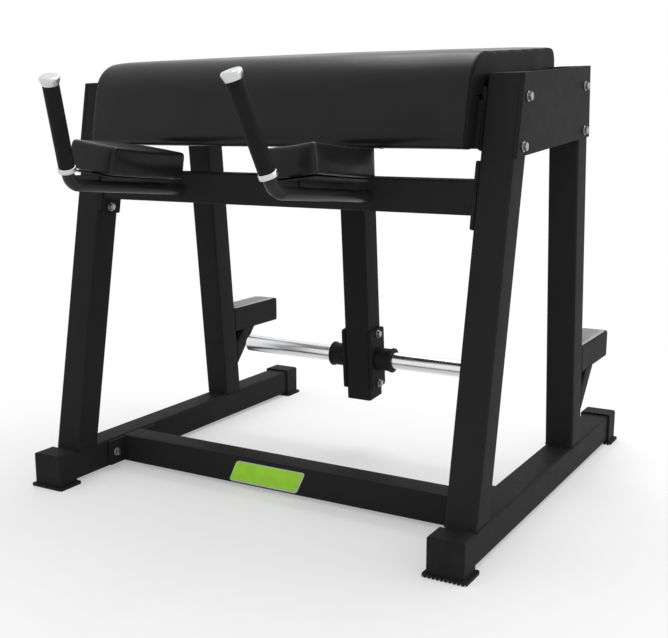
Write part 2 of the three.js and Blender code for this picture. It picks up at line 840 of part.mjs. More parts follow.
function buildElbowRest(name, side) {
  const start = new THREE.Vector3(side * armSpread, beamFrontY - seatGap, armBeamHeight);
  const corner = start
    .clone()
    .add(new THREE.Vector3(0, armLine.back, armLine.up).multiplyScalar(armReach));
  const upward = handleDirection(side);
  const end = corner.clone().addScaledVector(upward, handleLength);

  // The run starts inside the beam and is trimmed along the beam's front
  const inward = new THREE.Vector3(0, -armLine.back, -armLine.up);
  const inside = start.clone().addScaledVector(inward, overrun);
  const stations = bentStations(inside, corner, end, armBend, bendSegments);
  const section = new THREE.Shape().absarc(0, 0, armTube / 2, 0, Math.PI * 2);
  const bore = new THREE.Path().absarc(0, 0, armTube / 2 - armTubeWall, 0, Math.PI * 2);
  section.holes.push(bore);
  const tubeGeometry = new THREE.ExtrudeGeometry(section, {
    steps: stations.length - 1,
    curveSegments: boreSegments / 2,
    extrudePath: new BentLine(stations),
  });
  const beamSpace = new THREE.BoxGeometry(armTube * 2, tube, tube * 2);
  const trim = toSolid(
    beamSpace,
    move(start.x, start.y + tube / 2, start.z),
  );

  // The plate and pad sit on the tube in a frame that rises with it and rolls towards the middle
  const padFrame = chain(
    move(start.x, start.y, start.z),
    turnX(-armRise),
    turnY(side * -elbowRoll),
  );
  const tubeTop = armTube / 2 - armTubeWall / 2;
  const plateBase = tubeTop + elbowRiser;
  const plateWidth = elbowWidth - elbowPlateInset * 2;
  const plateLength = elbowLength - elbowPlateInset * 2;
  const padMiddle = -elbowOffset - elbowLength / 2;
  const plate = toSolid(
    extrude(
      roundedRectangle(plateWidth, plateLength, elbowPlateInset),
      elbowPlateThickness,
    ),
    chain(padFrame, move(0, padMiddle, plateBase + elbowPlateThickness / 2)),
  );
  const riserHeight = elbowRiser + elbowPlateThickness / 2;
  const riser = toSolid(
    new THREE.BoxGeometry(elbowRiserWidth, plateLength - elbowRiserSetback * 2, riserHeight),
    chain(padFrame, move(0, padMiddle, tubeTop + riserHeight / 2)),
  );
  const arm = union([toSolid(tubeGeometry).subtract(trim), riser, plate]);
  piece(machine, `elbow_arm_${name}`, arm, powderCoat, move(start.x, start.y, start.z));

  const padBase = plateBase + elbowPlateThickness + seatGap;
  const geometry = elbowCushion();
  geometry.translate(0, padMiddle, padBase);
  piece(machine, `elbow_pad_${name}`, geometry, vinyl, padFrame);

  // Handle: lower collar, grip and cap in a frame whose Z runs up the tube
  const collarBase = handleLength - capLength - gripLength - collarLength - seatGap * 2;
  const toHandle = new THREE.Quaternion().setFromUnitVectors(new THREE.Vector3(0, 0, 1), upward);
  const handle = new THREE.Group();
  handle.position.copy(corner);
  handle.quaternion.copy(toHandle);
  machine.add(handle);
  const boreRadius = armTube / 2 + seatGap;
  const ring = (diameter, length, round) => {
    const r = diameter / 2;
    return turned([
      [boreRadius, 0],
      ...arcPoints(r - round, round, round, -90, 0),
      ...arcPoints(r - round, length - round, round, 0, 90),
      [boreRadius, length],
    ]);
  };
  const collar = ring(collarDiameter, collarLength, collarRound);
  piece(handle, `handle_collar_${name}`, collar, silver, move(0, 0, collarBase));
  const gripBase = collarBase + collarLength + seatGap;
  const grip = ring(gripDiameter, gripLength, gripRound);
  piece(handle, `handle_grip_${name}`, grip, rubber, move(0, 0, gripBase));
  const capBase = gripBase + gripLength + seatGap;
  const capRoof = handleLength - capBase + seatGap;
  const capTopLength = capRoof + capRound;
  const cap = turned([
    [0, capRoof],
    [boreRadius, capRoof],
    [boreRadius, 0],
    [gripDiameter / 2, 0],
    [capDiameter / 2, capTopLength - capRim],
    ...arcPoints(capDiameter / 2 - capRound, capTopLength - capRound, capRound, 0, 90),
    [0, capTopLength],
  ]);
  piece(handle, `handle_cap_${name}`, cap, silver, move(0, 0, capBase));
}

// Elbow cushion with its middle over the origin and its flat base at z = 0
function elbowCushion() {
  const x = elbowLength / 2;
  const top = elbowThickness;
  const lowFront = [-x, 0];
  const lowBack = [x, 0];
  const highBack = [x, top];
  const highFront = [-x, top];
  const backCorner = roundCorner(highFront, highBack, lowBack, elbowRound, cushionSteps);
  const frontCorner = roundCorner(lowFront, highFront, highBack, elbowRound, cushionSteps);
  const outline = [
    ...sidePoints(lowBack, backCorner.end, 3, -elbowDrawIn),
    ...[...backCorner.points].reverse(),
    ...sidePoints(backCorner.start, frontCorner.end, 8, elbowCrown),
    ...[...frontCorner.points].reverse(),
    ...sidePoints(frontCorner.start, lowFront, 3, -elbowDrawIn),
  ];
  const half = elbowWidth / 2;
  return cushion(outline, half, half, elbowEndRound, elbowDrawIn, elbowStrips);
}

// Step bracket: a tube that reaches back from the rear leg, with a brace under it
function buildStep(name, side) {
  const axisZ = stepHeight - tube / 2;
  const legY = pointOn(rearLeg.back, stepHeight)[0];
  const nearBack = lineThrough(rearLeg.back.y + seatGap, rearLeg.back.z, rearLeg.back.dy, 1);
  const length = stepReach - rearLeg.axis.y;
  const tubeMiddle = stepReach - length / 2;
  const place = chain(move(side * runnerX, tubeMiddle, axisZ), turnX(90));
  const endPlate = extrude(roundedRectangle(tube, tube, tubeCorner), stepEndWall);
  const endPlace = chain(move(side * runnerX, stepReach - stepEndWall / 2, axisZ), turnX(90));

  const underside = stepHeight - tube;
  const [footY] = pointOn(nearBack, braceFootHeight);
  const [headY] = [pointOn(nearBack, underside)[0] + braceReach];
  const rise = underside - braceFootHeight;
  const run = headY - footY;
  const slope = THREE.MathUtils.radToDeg(Math.atan2(run, rise));
  const braceLength = Math.hypot(run, rise) * 2;
  const shift = braceDepth / 2;
  const braceY = (footY + headY) / 2 - shift * Math.cos(rad(slope));
  const braceZ = (underside + braceFootHeight) / 2 + shift * Math.sin(rad(slope));
  const bracePlace = chain(move(side * runnerX, braceY, braceZ), turnX(-slope));
  const keep = crossPlate(
    [
      pointOn(nearBack, soleHeight),
      [stepReach, soleHeight],
      [stepReach, underside + tubeWall / 2],
      pointOn(nearBack, underside + tubeWall / 2),
    ],
    baseWidth + overrun,
  );
  const brace = toSolid(tubeBlank(braceLength, tube, braceDepth), bracePlace).intersect(keep);
  const behindLeg = crossPlate(
    [
      pointOn(nearBack, soleHeight),
      [stepReach + overrun, soleHeight],
      [stepReach + overrun, platePeak],
      pointOn(nearBack, platePeak),
    ],
    baseWidth + overrun,
  );
  const stepTube = toSolid(tubeBlank(length), place)
    .add(toSolid(endPlate, endPlace))
    .intersect(behindLeg);
  piece(machine, `step_bracket_${name}`, stepTube.add(brace), powderCoat, place);

  const tread = extrude(roundedRectangle(treadWidth, treadLength, treadCorner), treadThickness);
  const treadPlace = move(
    side * runnerX,
    legY + treadSetback + treadLength / 2,
    stepHeight + seatGap + treadThickness / 2,
  );
  piece(machine, `step_tread_${name}`, tread, gripTread, treadPlace);
}

// Pivot: hangers under the rear cross member hold a fixed shaft
const pivotY = rearMember[0] - pivotForward;
const pivotZ = rearMember[1] - pivotDrop;
const hubEnd = hubLength / 2 + seatGap + bushFlange + hangerClearance;

const shaftBore = shaftDiameter + seatGap * 2;

function buildPivot() {
  const memberUnder = seatLine(memberAxis.z - (tube / 2 + seatGap) / seatCos);
  const shaftHole = crossRod(shaftBore, baseWidth, 0, pivotY, pivotZ, roundSegments);
  const wideY = rearMember[0] + tube / 2 - tubeCorner;
  const top = [
    [wideY, memberUnder.z + wideY * seatRise],
    [wideY - hangerWidth, memberUnder.z + (wideY - hangerWidth) * seatRise],
  ];
  const round = arcPoints(pivotY, pivotZ, hangerRadius, hangerArcStart, hangerArcEnd, bendSegments);
  for (const [name, side] of sideNames) {
    const x = side * (hubEnd + hangerThickness / 2);
    const plate = crossPlate([...top, ...round], hangerThickness, x);
    const place = move(x, pivotY, pivotZ);
    piece(machine, `pivot_hanger_${name}`, plate.subtract(shaftHole), powderCoat, place);
  }
  const grip = (hubEnd + hangerThickness) * 2 + seatGap * 2;
  const head = hexHead(shaftDiameter * 1.5, shaftDiameter * 0.6);
  const reach = grip / 2 + shaftDiameter * 0.6;
  const shaft = union([
    toSolid(rod(shaftDiameter, reach * 2, roundSegments)),
    toSolid(head, move(0, 0, reach - shaftDiameter * 0.3)),
    toSolid(head, move(0, 0, shaftDiameter * 0.3 - reach)),
  ]);
  piece(machine, "pivot_shaft", toGeometry(shaft), zinc, chain(move(0, pivotY, pivotZ), turnY(90)));
}

const hexHead = (flats, height) =>
  new THREE.CylinderGeometry(flats / Math.sqrt(3), flats / Math.sqrt(3), height, 6).rotateX(
    Math.PI / 2,
  );

const hornDrop = armLength - armTail;

// Pendulum, built hanging straight down from its hub and then leaned. In its group Z points up the arm,
// the hub's axis is the origin and the arm lies in front of it.
function buildPendulum() {
  const pendulum = new THREE.Group();
  pendulum.position.set(0, pivotY, pivotZ);
  pendulum.rotation.x = rad(pendulumLean);
  machine.add(pendulum);

  const length = armLength + armTop;
  const armMiddle = armTop - length / 2;
  const shell = toSolid(tubeCore(length), move(0, -hubOffset, armMiddle));
  const innerSize = tube - tubeWall * 2;
  const hollow = toSolid(
    extrude(roundedRectangle(innerSize, innerSize, tubeCorner - tubeWall), length - tubeWall * 2),
    move(0, -hubOffset, armMiddle),
  );
  const hub = crossRod(hubDiameter, hubLength, 0, 0, 0, roundSegments);
  const shaftRoom = crossRod(shaftDiameter + seatGap * 4, hubLength * 2, 0, 0, 0);
  const bushRoom = [-1, 1].map((side) =>
    crossRod(bushDiameter + seatGap * 2, bushDepth * 2, (side * hubLength) / 2, 0, 0, roundSegments),
  );
  const hornBolts = [-1, 1].map((end) => [-hubOffset, -hornDrop + (end * hornBoltSpacing) / 2]);
  const holes = boltHoles(hornBolts, baseWidth, 0);
  const arm = shell
    .subtract(hollow)
    .add(hub)
    .subtract(shaftRoom)
    .subtract(union(bushRoom))
    .subtract(holes);
  piece(pendulum, "pendulum_arm", arm, powderCoat, move(0, -hubOffset, armMiddle));

  const plateX = tube / 2 + seatGap + hornPlateThickness / 2;
  const hornEnd = hornSpan / 2;
  const hornStart = tube / 2 + seatGap;
  const hornLength = hornEnd - hornStart;
  const r = hornDiameter / 2;
  const horn = turned([
    [r - hornWall, 0],
    [r, 0],
    [r, hornLength - hornChamfer],
    [r - hornChamfer, hornLength],
    [0, hornLength],
    [0, hornLength - hornWall],
    [r - hornWall, hornLength - hornWall],
  ]);
  const plate = extrude(
    roundedRectangle(hornPlateHeight, hornPlateWidth, hornPlateCorner),
    hornPlateThickness,
  );
  const bore = rod(hornDiameter - hornWall * 2, hornPlateThickness * 3);
  const bushBore = shaftBore / 2;
  const bush = turned([
    [bushBore, -bushDepth + seatGap * 2],
    [bushDiameter / 2, -bushDepth + seatGap * 2],
    [bushDiameter / 2, seatGap],
    [bushFlangeDiameter / 2, seatGap],
    [bushFlangeDiameter / 2, seatGap + bushFlange],
    [bushBore, seatGap + bushFlange],
  ]);
  const bumperBore = hornDiameter / 2 + seatGap;
  const bumperSide = bumperDiameter / 2;
  const neckSide = bumperNeck / 2;
  const lipStart = bumperLength - bumperLip;
  const bumper = turned([
    [bumperBore, 0],
    ...arcPoints(neckSide - bumperRound, bumperRound, bumperRound, -90, 0),
    [neckSide, lipStart],
    [bumperSide, lipStart + bumperSide - neckSide],
    ...arcPoints(bumperSide - bumperRound, bumperLength - bumperRound, bumperRound, 0, 90),
    [bumperBore, bumperLength],
  ]);
  for (const [name, side] of sideNames) {
    const outward = turnY(side * 90);
    const hornPlace = chain(move(side * hornStart, -hubOffset, -hornDrop), outward);
    const plateInHorn = toSolid(plate, move(0, 0, hornPlateThickness / 2));
    const body = toSolid(horn)
      .add(plateInHorn)
      .subtract(toSolid(bore))
      .transform(hornPlace.elements)
      .subtract(holes);
    piece(pendulum, `weight_horn_${name}`, body, chrome, hornPlace);
    const bumperX = side * (plateX + hornPlateThickness / 2 + seatGap);
    const bumperPlace = chain(move(bumperX, -hubOffset, -hornDrop), outward);
    piece(pendulum, `horn_bumper_${name}`, bumper, rubber, bumperPlace);
    const bushPlace = chain(move((side * hubLength) / 2, 0, 0), outward);
    piece(pendulum, `pivot_bush_${name}`, bush, bronze, bushPlace);
  }
  const hornGrip = (plateX + hornPlateThickness / 2 + seatGap) * 2;
  const hornBolt = bolt(hornGrip, true);
  hornBolts.forEach(([y, z], i) => {
    const place = chain(move(hornGrip / 2, y, z), turnY(90));
    piece(pendulum, `horn_bolt_${["lower", "upper"][i]}`, hornBolt, zinc, place);
  });
}

buildBase();
buildLegs();
buildCrossTubes();
buildFasteners();
buildPad();
for (const [name, side] of sideNames) {
  buildElbowRest(name, side);
  buildStep(name, side);
}
buildPivot();
buildPendulum();

// Origin in the middle of the floor under the machine
const box = new THREE.Box3().setFromObject(machine, true);
const middle = box.getCenter(new THREE.Vector3());
machine.position.set(-middle.x, -middle.y, -box.min.z);

export default machine;
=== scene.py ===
# %% [markdown]
# # Reverse hyper machine
#
# This lesson dresses a gym machine for a studio picture: a black powder coated frame, a thick
# vinyl pad on top, two elbow rests with upright handles, and a pendulum with chrome horns for
# weight plates. The machine's bodies come from a fixed frame. Every length is in metres, and +Z
# is up.

# %% Load the frame and keep its box
import json
from math import atan2, cos, pi, radians, tan

import bmesh
import bpy
import numpy as np
from mathutils import Matrix, Vector
from mathutils.bvhtree import BVHTree


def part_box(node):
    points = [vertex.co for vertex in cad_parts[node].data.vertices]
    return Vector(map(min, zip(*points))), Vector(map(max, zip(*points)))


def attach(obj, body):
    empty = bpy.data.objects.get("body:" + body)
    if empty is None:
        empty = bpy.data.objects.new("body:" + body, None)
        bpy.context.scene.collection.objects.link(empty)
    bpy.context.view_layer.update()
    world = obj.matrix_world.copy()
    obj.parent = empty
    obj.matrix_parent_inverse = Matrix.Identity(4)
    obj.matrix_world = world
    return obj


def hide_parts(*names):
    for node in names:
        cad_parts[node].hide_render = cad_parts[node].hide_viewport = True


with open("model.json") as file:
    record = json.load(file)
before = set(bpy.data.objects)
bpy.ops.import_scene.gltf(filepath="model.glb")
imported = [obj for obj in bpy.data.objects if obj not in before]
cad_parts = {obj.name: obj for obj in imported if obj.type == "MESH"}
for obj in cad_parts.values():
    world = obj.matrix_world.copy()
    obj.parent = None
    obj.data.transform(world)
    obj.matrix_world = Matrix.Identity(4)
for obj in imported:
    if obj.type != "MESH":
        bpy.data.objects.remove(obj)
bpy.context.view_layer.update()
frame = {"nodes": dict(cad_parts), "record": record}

nodes = frame["nodes"]
record = frame["record"]
sides = (("left", -1), ("right", 1))
body_of = {
    node: body
    for body, members in record["behaviour"]["bodies"].items()
    for node in members
}
slot_of = {part["node"]: part["material_slot"] for part in record["subparts"]}
print("nodes in the frame:", len(nodes))

# %% [markdown]
# ## Small helpers for bodies
#
# Most pieces here start as a profile that is spun, or as a flat outline that is extruded. Both
# ways give a closed body, and a bevel then takes the sharpness off its edges, because no real
# edge is perfectly sharp and the thin highlight along it is what makes metal look like metal.

# %% Placing and joining bodies
merge_distance = 0.00002
turn_steps = 48


def box_of(node):
    low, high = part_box(node)
    return Vector(low), Vector(high)


def middle_of(node):
    low, high = box_of(node)
    return (low + high) / 2


def mesh_from(name, body):
    """Turns a bmesh into a mesh."""
    shape = bpy.data.meshes.new(name)
    body.to_mesh(shape)
    body.free()
    return shape


def joined(*bodies):
    """One bmesh that holds several."""
    whole = bmesh.new()
    for body in bodies:
        shape = mesh_from("joint", body)
        whole.from_mesh(shape)
        bpy.data.meshes.remove(shape)
    return whole


def placed(body, place):
    bmesh.ops.transform(body, matrix=place, verts=body.verts)
    return body


def points_in(geometry):
    return [part for part in geometry if isinstance(part, bmesh.types.BMVert)]


def edges_in(geometry):
    return [part for part in geometry if isinstance(part, bmesh.types.BMEdge)]


def all_of(body):
    return body.verts[:] + body.edges[:] + body.faces[:]


def closed(body):
    """Merges double vertices and turns all faces outwards."""
    bmesh.ops.remove_doubles(body, verts=body.verts, dist=merge_distance)
    bmesh.ops.recalc_face_normals(body, faces=body.faces)
    return body


# %% Rounding edges
sharp_angle = radians(50)
flat_angle = radians(0.4)
round_profile = 0.5


def bevelled(body, edges, radius, segments):
    """Gives edges a round bevel."""
    bmesh.ops.bevel(
        body,
        geom=edges,
        offset=radius,
        offset_type="OFFSET",
        segments=segments,
        profile=round_profile,
        affect="EDGES",
        clamp_overlap=True,
        material=-1,
    )
    return body


def rounded(body, radius, segments=2, sharp=sharp_angle):
    """Bevels every edge that is sharper than the given angle."""
    edges = [e for e in body.edges if e.is_manifold and e.calc_face_angle() > sharp]
    return bevelled(body, edges, radius, segments)


# %% Turned and plate bodies
upward = 0.9


def turned(profile, steps=turn_steps, ring=True):
    """Spins (radius, height) points round Z. A ring's profile closes on itself."""
    body = bmesh.new()
    points = [body.verts.new((radius, 0, height)) for radius, height in profile]
    ahead = points[1:] + points[:1] if ring else points[1:]
    edges = [body.edges.new(pair) for pair in zip(points, ahead)]
    bmesh.ops.spin(
        body,
        geom=points + edges,
        cent=(0, 0, 0),
        axis=(0, 0, 1),
        angle=2 * pi,
        steps=steps,
        use_merge=True,
    )
    return closed(body)


def thickened(body, faces, step):
    """Extrudes flat faces by a step into a closed body."""
    grown = bmesh.ops.extrude_face_region(body, geom=faces, use_keep_orig=True)
    bmesh.ops.translate(body, vec=step, verts=points_in(grown["geom"]))
    return closed(body)


def plate(width, length, thickness, corner, corner_steps=6):
    """Plate on z = 0 with round corners, width along X and length along Y."""
    body = bmesh.new()
    bmesh.ops.create_grid(body, x_segments=1, y_segments=1, size=0.5)
    bmesh.ops.scale(body, vec=(width, length, 1), verts=body.verts)
    bmesh.ops.bevel(
        body,
        geom=body.verts,
        offset=corner,
        segments=corner_steps,
        profile=round_profile,
        affect="VERTICES",
        material=-1,
    )
    return thickened(body, body.faces[:], (0, 0, thickness))


def prism(outline, thickness):
    """Solid over a flat outline of (y, z) points, centred on x = 0."""
    body = bmesh.new()
    corners = [body.verts.new((-thickness / 2, y, z)) for y, z in outline]
    return thickened(body, [body.faces.new(corners)], (thickness, 0, 0))


def framed_top(body, rim):
    """Insets the faces that look up, and returns the one inside the rim."""
    top = [face for face in body.faces if face.normal.z > upward]
    bmesh.ops.inset_region(body, faces=top, thickness=rim, use_even_offset=True)
    top = [face for face in body.faces if face.normal.z > upward]
    return max(top, key=lambda face: face.calc_area())


# %% Handing a body to the frame
smooth_angle = radians(50)


def added(name, body, skin, node, weighted=True):
    """Makes the body an object at the origin that rides with a node."""
    shape = mesh_from(name, body)
    shape.shade_smooth()
    shape.set_sharp_from_angle(angle=smooth_angle)
    shape.materials.append(skin)
    piece = bpy.data.objects.new(name, shape)
    bpy.context.scene.collection.objects.link(piece)
    if weighted:
        flats = piece.modifiers.new("flat faces stay flat", "WEIGHTED_NORMAL")
        flats.keep_sharp = True
    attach(piece, body_of[node])
    return piece


def finished(name, body, skin, node, weighted=True):
    """Adds the body as the piece that stands for a node."""
    piece = added(name, body, skin, node, weighted)
    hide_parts(node)
    return piece


# %% [markdown]
# ## Finishes
#
# Each finish is a Principled shader with a little life in it: the colour drifts slowly over the
# surface, the gloss changes in small patches, and a fine bump gives the grain. The patterns
# read Object coordinates, which are metres in the machine's own frame, so a scale of 700
# repeats every 1.4 mm.

# %% Helpers for all finishes
blue_share = 1.03


def finish(name, colour, roughness, metallic=0.0, specular=0.5):
    """A Principled material, with its nodes at hand."""
    material = bpy.data.materials.new(name)
    material.use_nodes = True
    tree = material.node_tree
    shader = tree.nodes["Principled BSDF"]
    shader.inputs["Base Color"].default_value = (*colour, 1)
    shader.inputs["Roughness"].default_value = roughness
    shader.inputs["Metallic"].default_value = metallic
    shader.inputs["Specular IOR Level"].default_value = specular
    return material, tree, shader


def pattern(tree, kind, scale, stretch=(1, 1, 1), **settings):
    """A texture node on Object coordinates."""
    place = tree.nodes.new("ShaderNodeTexCoord")
    mapping = tree.nodes.new("ShaderNodeMapping")
    mapping.inputs["Scale"].default_value = stretch
    texture = tree.nodes.new(kind)
    texture.inputs["Scale"].default_value = scale
    tree.links.new(place.outputs["Object"], mapping.inputs["Vector"])
    tree.links.new(mapping.outputs["Vector"], texture.inputs["Vector"])
    for name, value in settings.items():
        if name in texture.inputs:
            texture.inputs[name].default_value = value
        else:
            setattr(texture, name, value)
    return texture


def spread(tree, value, low, high, socket, start=0.3, end=0.7):
    """Feeds a socket with a pattern's value, spread between low and high."""
    span = tree.nodes.new("ShaderNodeMapRange")
    span.inputs["From Min"].default_value = start
    span.inputs["From Max"].default_value = end
    span.inputs["To Min"].default_value = low
    span.inputs["To Max"].default_value = high
    tree.links.new(value, span.inputs["Value"])
    tree.links.new(span.outputs["Result"], socket)


def shaded(tree, value, dark, light, socket, start=0.3, end=0.7):
    """Feeds a colour socket with two colours that a pattern mixes."""
    ramp = tree.nodes.new("ShaderNodeValToRGB")
    ramp.color_ramp.elements[0].position = start
    ramp.color_ramp.elements[0].color = (*dark, 1)
    ramp.color_ramp.elements[1].position = end
    ramp.color_ramp.elements[1].color = (*light, 1)
    tree.links.new(value, ramp.inputs["Fac"])
    tree.links.new(ramp.outputs["Color"], socket)


def raised(tree, shader, heights):
    """Stacks bumps: each is a pattern's value, a strength and a height in metres."""
    before = None
    for value, strength, distance in heights:
        bump = tree.nodes.new("ShaderNodeBump")
        bump.inputs["Strength"].default_value = strength
        bump.inputs["Distance"].default_value = distance
        tree.links.new(value, bump.inputs["Height"])
        if before:
            tree.links.new(before.outputs["Normal"], bump.inputs["Normal"])
        before = bump
    tree.links.new(before.outputs["Normal"], shader.inputs["Normal"])


def grey(value):
    """A grey with a touch more blue."""
    return (value, value, value * blue_share)


# %% [markdown]
# ### Powder coat
#
# Powder melts into a skin with a slight orange peel, about two millimetres from hill to hill.
# It is almost black, and most of its brightness is the pale room in its satin surface. The bent
# tubes of the elbow rests are glossier than the rest, so their undersides show a bright line of
# floor.

# %% Powder coat
def powder_coat(name, roughness, specular):
    material, tree, shader = finish(name, grey(0.020), roughness, specular=specular)
    drift = pattern(tree, "ShaderNodeTexNoise", scale=2.5, Detail=3.0)
    shaded(tree, drift.outputs["Fac"], grey(0.0188), grey(0.0222), shader.inputs["Base Color"])
    patches = pattern(tree, "ShaderNodeTexNoise", scale=26, Detail=3.0)
    change = 0.03
    dull, glossy = roughness + change, roughness - change
    spread(tree, patches.outputs["Fac"], glossy, dull, shader.inputs["Roughness"])
    peel = pattern(tree, "ShaderNodeTexNoise", scale=480, Detail=1.0)
    grain = pattern(tree, "ShaderNodeTexNoise", scale=1900, Detail=1.0)
    raised(
        tree,
        shader,
        ((peel.outputs["Fac"], 0.16, 0.0002), (grain.outputs["Fac"], 0.12, 0.00005)),
    )
    return material


# %% [markdown]
# ### Vinyl
#
# Upholstery vinyl is pressed with a pebble grain: small cells with soft valleys between them. A
# Voronoi pattern's distance to the cell edge gives the valleys, and a slow noise breaks the
# regularity. The end panels of the main pad are cut from a duller sheet.

# %% Vinyl
def vinyl(name, grain_scale, roughness=0.305, specular=0.2):
    material, tree, shader = finish(name, grey(0.009), roughness, specular=specular)
    drift = pattern(tree, "ShaderNodeTexNoise", scale=6, Detail=2.0)
    shaded(tree, drift.outputs["Fac"], grey(0.008), grey(0.011), shader.inputs["Base Color"])
    worn = pattern(tree, "ShaderNodeTexNoise", scale=14, Detail=5.0)
    change = 0.035
    dull, glossy = roughness + change, roughness - change
    spread(tree, worn.outputs["Fac"], glossy, dull, shader.inputs["Roughness"])
    cells = pattern(tree, "ShaderNodeTexVoronoi", scale=grain_scale, feature="DISTANCE_TO_EDGE")
    pores = pattern(tree, "ShaderNodeTexNoise", scale=grain_scale * 3, Detail=2.0)
    soft = pattern(tree, "ShaderNodeTexNoise", scale=30, Detail=2.0)
    raised(
        tree,
        shader,
        (
            (soft.outputs["Fac"], 0.06, 0.0012),
            (cells.outputs["Distance"], 0.2, 0.0003),
            (pores.outputs["Fac"], 0.08, 0.00008),
        ),
    )
    return material


# %% [markdown]
# ### Rubber and metal
#
# Rubber is rough with a dusty grain. Chrome is worn to a soft mirror by hairline scratches that
# run along the horn, where plates slide on and off. Zinc shows pale and dull crystals, and the
# turned aluminium of the handles has fine rings.

# %% Rubber
def rubber(name, shade, roughness):
    material, tree, shader = finish(name, grey(shade), roughness, specular=0.1)
    dust = pattern(tree, "ShaderNodeTexNoise", scale=24, Detail=6.0)
    dark, dusty = grey(shade * 0.8), grey(shade * 1.35)
    shaded(tree, dust.outputs["Fac"], dark, dusty, shader.inputs["Base Color"])
    worn, dull = roughness - 0.06, roughness + 0.08
    spread(tree, dust.outputs["Fac"], worn, dull, shader.inputs["Roughness"])
    grain = pattern(tree, "ShaderNodeTexNoise", scale=900, Detail=3.0)
    raised(tree, shader, ((grain.outputs["Fac"], 0.3, 0.00015),))
    return material


# %% Metals
def chrome():
    colour = (0.8, 0.81, 0.82)
    material, tree, shader = finish("polished chrome", colour, roughness=0.2, metallic=1)
    hairlines = pattern(tree, "ShaderNodeTexNoise", scale=900, stretch=(0.02, 1, 1), Detail=4.0)
    spread(tree, hairlines.outputs["Fac"], 0.17, 0.28, shader.inputs["Roughness"])
    raised(tree, shader, ((hairlines.outputs["Fac"], 0.05, 0.00005),))
    return material


def aluminium():
    colour = (0.64, 0.65, 0.66)
    material, tree, shader = finish("turned aluminium", colour, roughness=0.32, metallic=1)
    rings = pattern(tree, "ShaderNodeTexNoise", scale=1400, stretch=(0.05, 0.05, 1), Detail=2.0)
    spread(tree, rings.outputs["Fac"], 0.28, 0.4, shader.inputs["Roughness"])
    raised(tree, shader, ((rings.outputs["Fac"], 0.08, 0.00005),))
    return material


def zinc():
    colour = (0.36, 0.365, 0.38)
    material, tree, shader = finish("zinc plated steel", colour, roughness=0.36, metallic=1)
    crystals = pattern(tree, "ShaderNodeTexVoronoi", scale=420, feature="F1")
    shaded(
        tree,
        crystals.outputs["Distance"],
        (0.28, 0.285, 0.3),
        (0.42, 0.425, 0.44),
        shader.inputs["Base Color"],
    )
    spread(tree, crystals.outputs["Distance"], 0.27, 0.42, shader.inputs["Roughness"])
    grain = pattern(tree, "ShaderNodeTexNoise", scale=1500, Detail=2.0)
    raised(tree, shader, ((grain.outputs["Fac"], 0.08, 0.00005),))
    return material


def bronze():
    colour = (0.5, 0.33, 0.15)
    material, tree, shader = finish("oiled bronze", colour, roughness=0.32, metallic=1)
    oil = pattern(tree, "ShaderNodeTexNoise", scale=60, Detail=4.0)
    shaded(
        tree,
        oil.outputs["Fac"],
        (0.38, 0.24, 0.1),
        (0.56, 0.39, 0.19),
        shader.inputs["Base Color"],
    )
    spread(tree, oil.outputs["Fac"], 0.24, 0.42, shader.inputs["Roughness"])
    return material


# %% [markdown]
# ### Tread strip, plywood and the plain label
#
# The treads are pale grey with a sandy grain that boots can grip. The pad's board is plywood
# with a black stain, seen from below. The label on the base tube is a plain lime plate with a
# pale rim.

# %% Tread strip
def tread_grip():
    material, tree, shader = finish("sandy grey tread", grey(0.43), roughness=0.7, specular=0.3)
    sand = pattern(tree, "ShaderNodeTexNoise", scale=950, Detail=3.0)
    shaded(tree, sand.outputs["Fac"], grey(0.33), grey(0.53), shader.inputs["Base Color"])
    grit = pattern(tree, "ShaderNodeTexVoronoi", scale=800, feature="F1")
    raised(
        tree,
        shader,
        ((grit.outputs["Distance"], 0.5, 0.0003), (sand.outputs["Fac"], 0.3, 0.0001)),
    )
    return material


# %% Plywood
def plywood():
    colour = (0.016, 0.014, 0.012)
    material, tree, shader = finish("stained plywood", colour, roughness=0.62, specular=0.3)
    rings = pattern(
        tree,
        "ShaderNodeTexNoise",
        scale=26,
        stretch=(0.12, 1, 1),
        Detail=6.0,
        Distortion=0.6,
    )
    shaded(
        tree,
        rings.outputs["Fac"],
        (0.011, 0.010, 0.009),
        (0.026, 0.022, 0.018),
        shader.inputs["Base Color"],
    )
    pores = pattern(tree, "ShaderNodeTexNoise", scale=420, stretch=(0.06, 1, 1), Detail=3.0)
    raised(tree, shader, ((pores.outputs["Fac"], 0.3, 0.0002),))
    return material


# %% Label
def label_paint(name, colour, roughness):
    material, tree, shader = finish(name, colour, roughness, specular=0.4)
    drift = pattern(tree, "ShaderNodeTexNoise", scale=30, Detail=2.0)
    shade = 0.88
    darker = tuple(shade * c for c in colour)
    shaded(tree, drift.outputs["Fac"], darker, colour, shader.inputs["Base Color"])
    film = pattern(tree, "ShaderNodeTexNoise", scale=220, Detail=1.0)
    raised(tree, shader, ((film.outputs["Fac"], 0.06, 0.0002),))
    return material


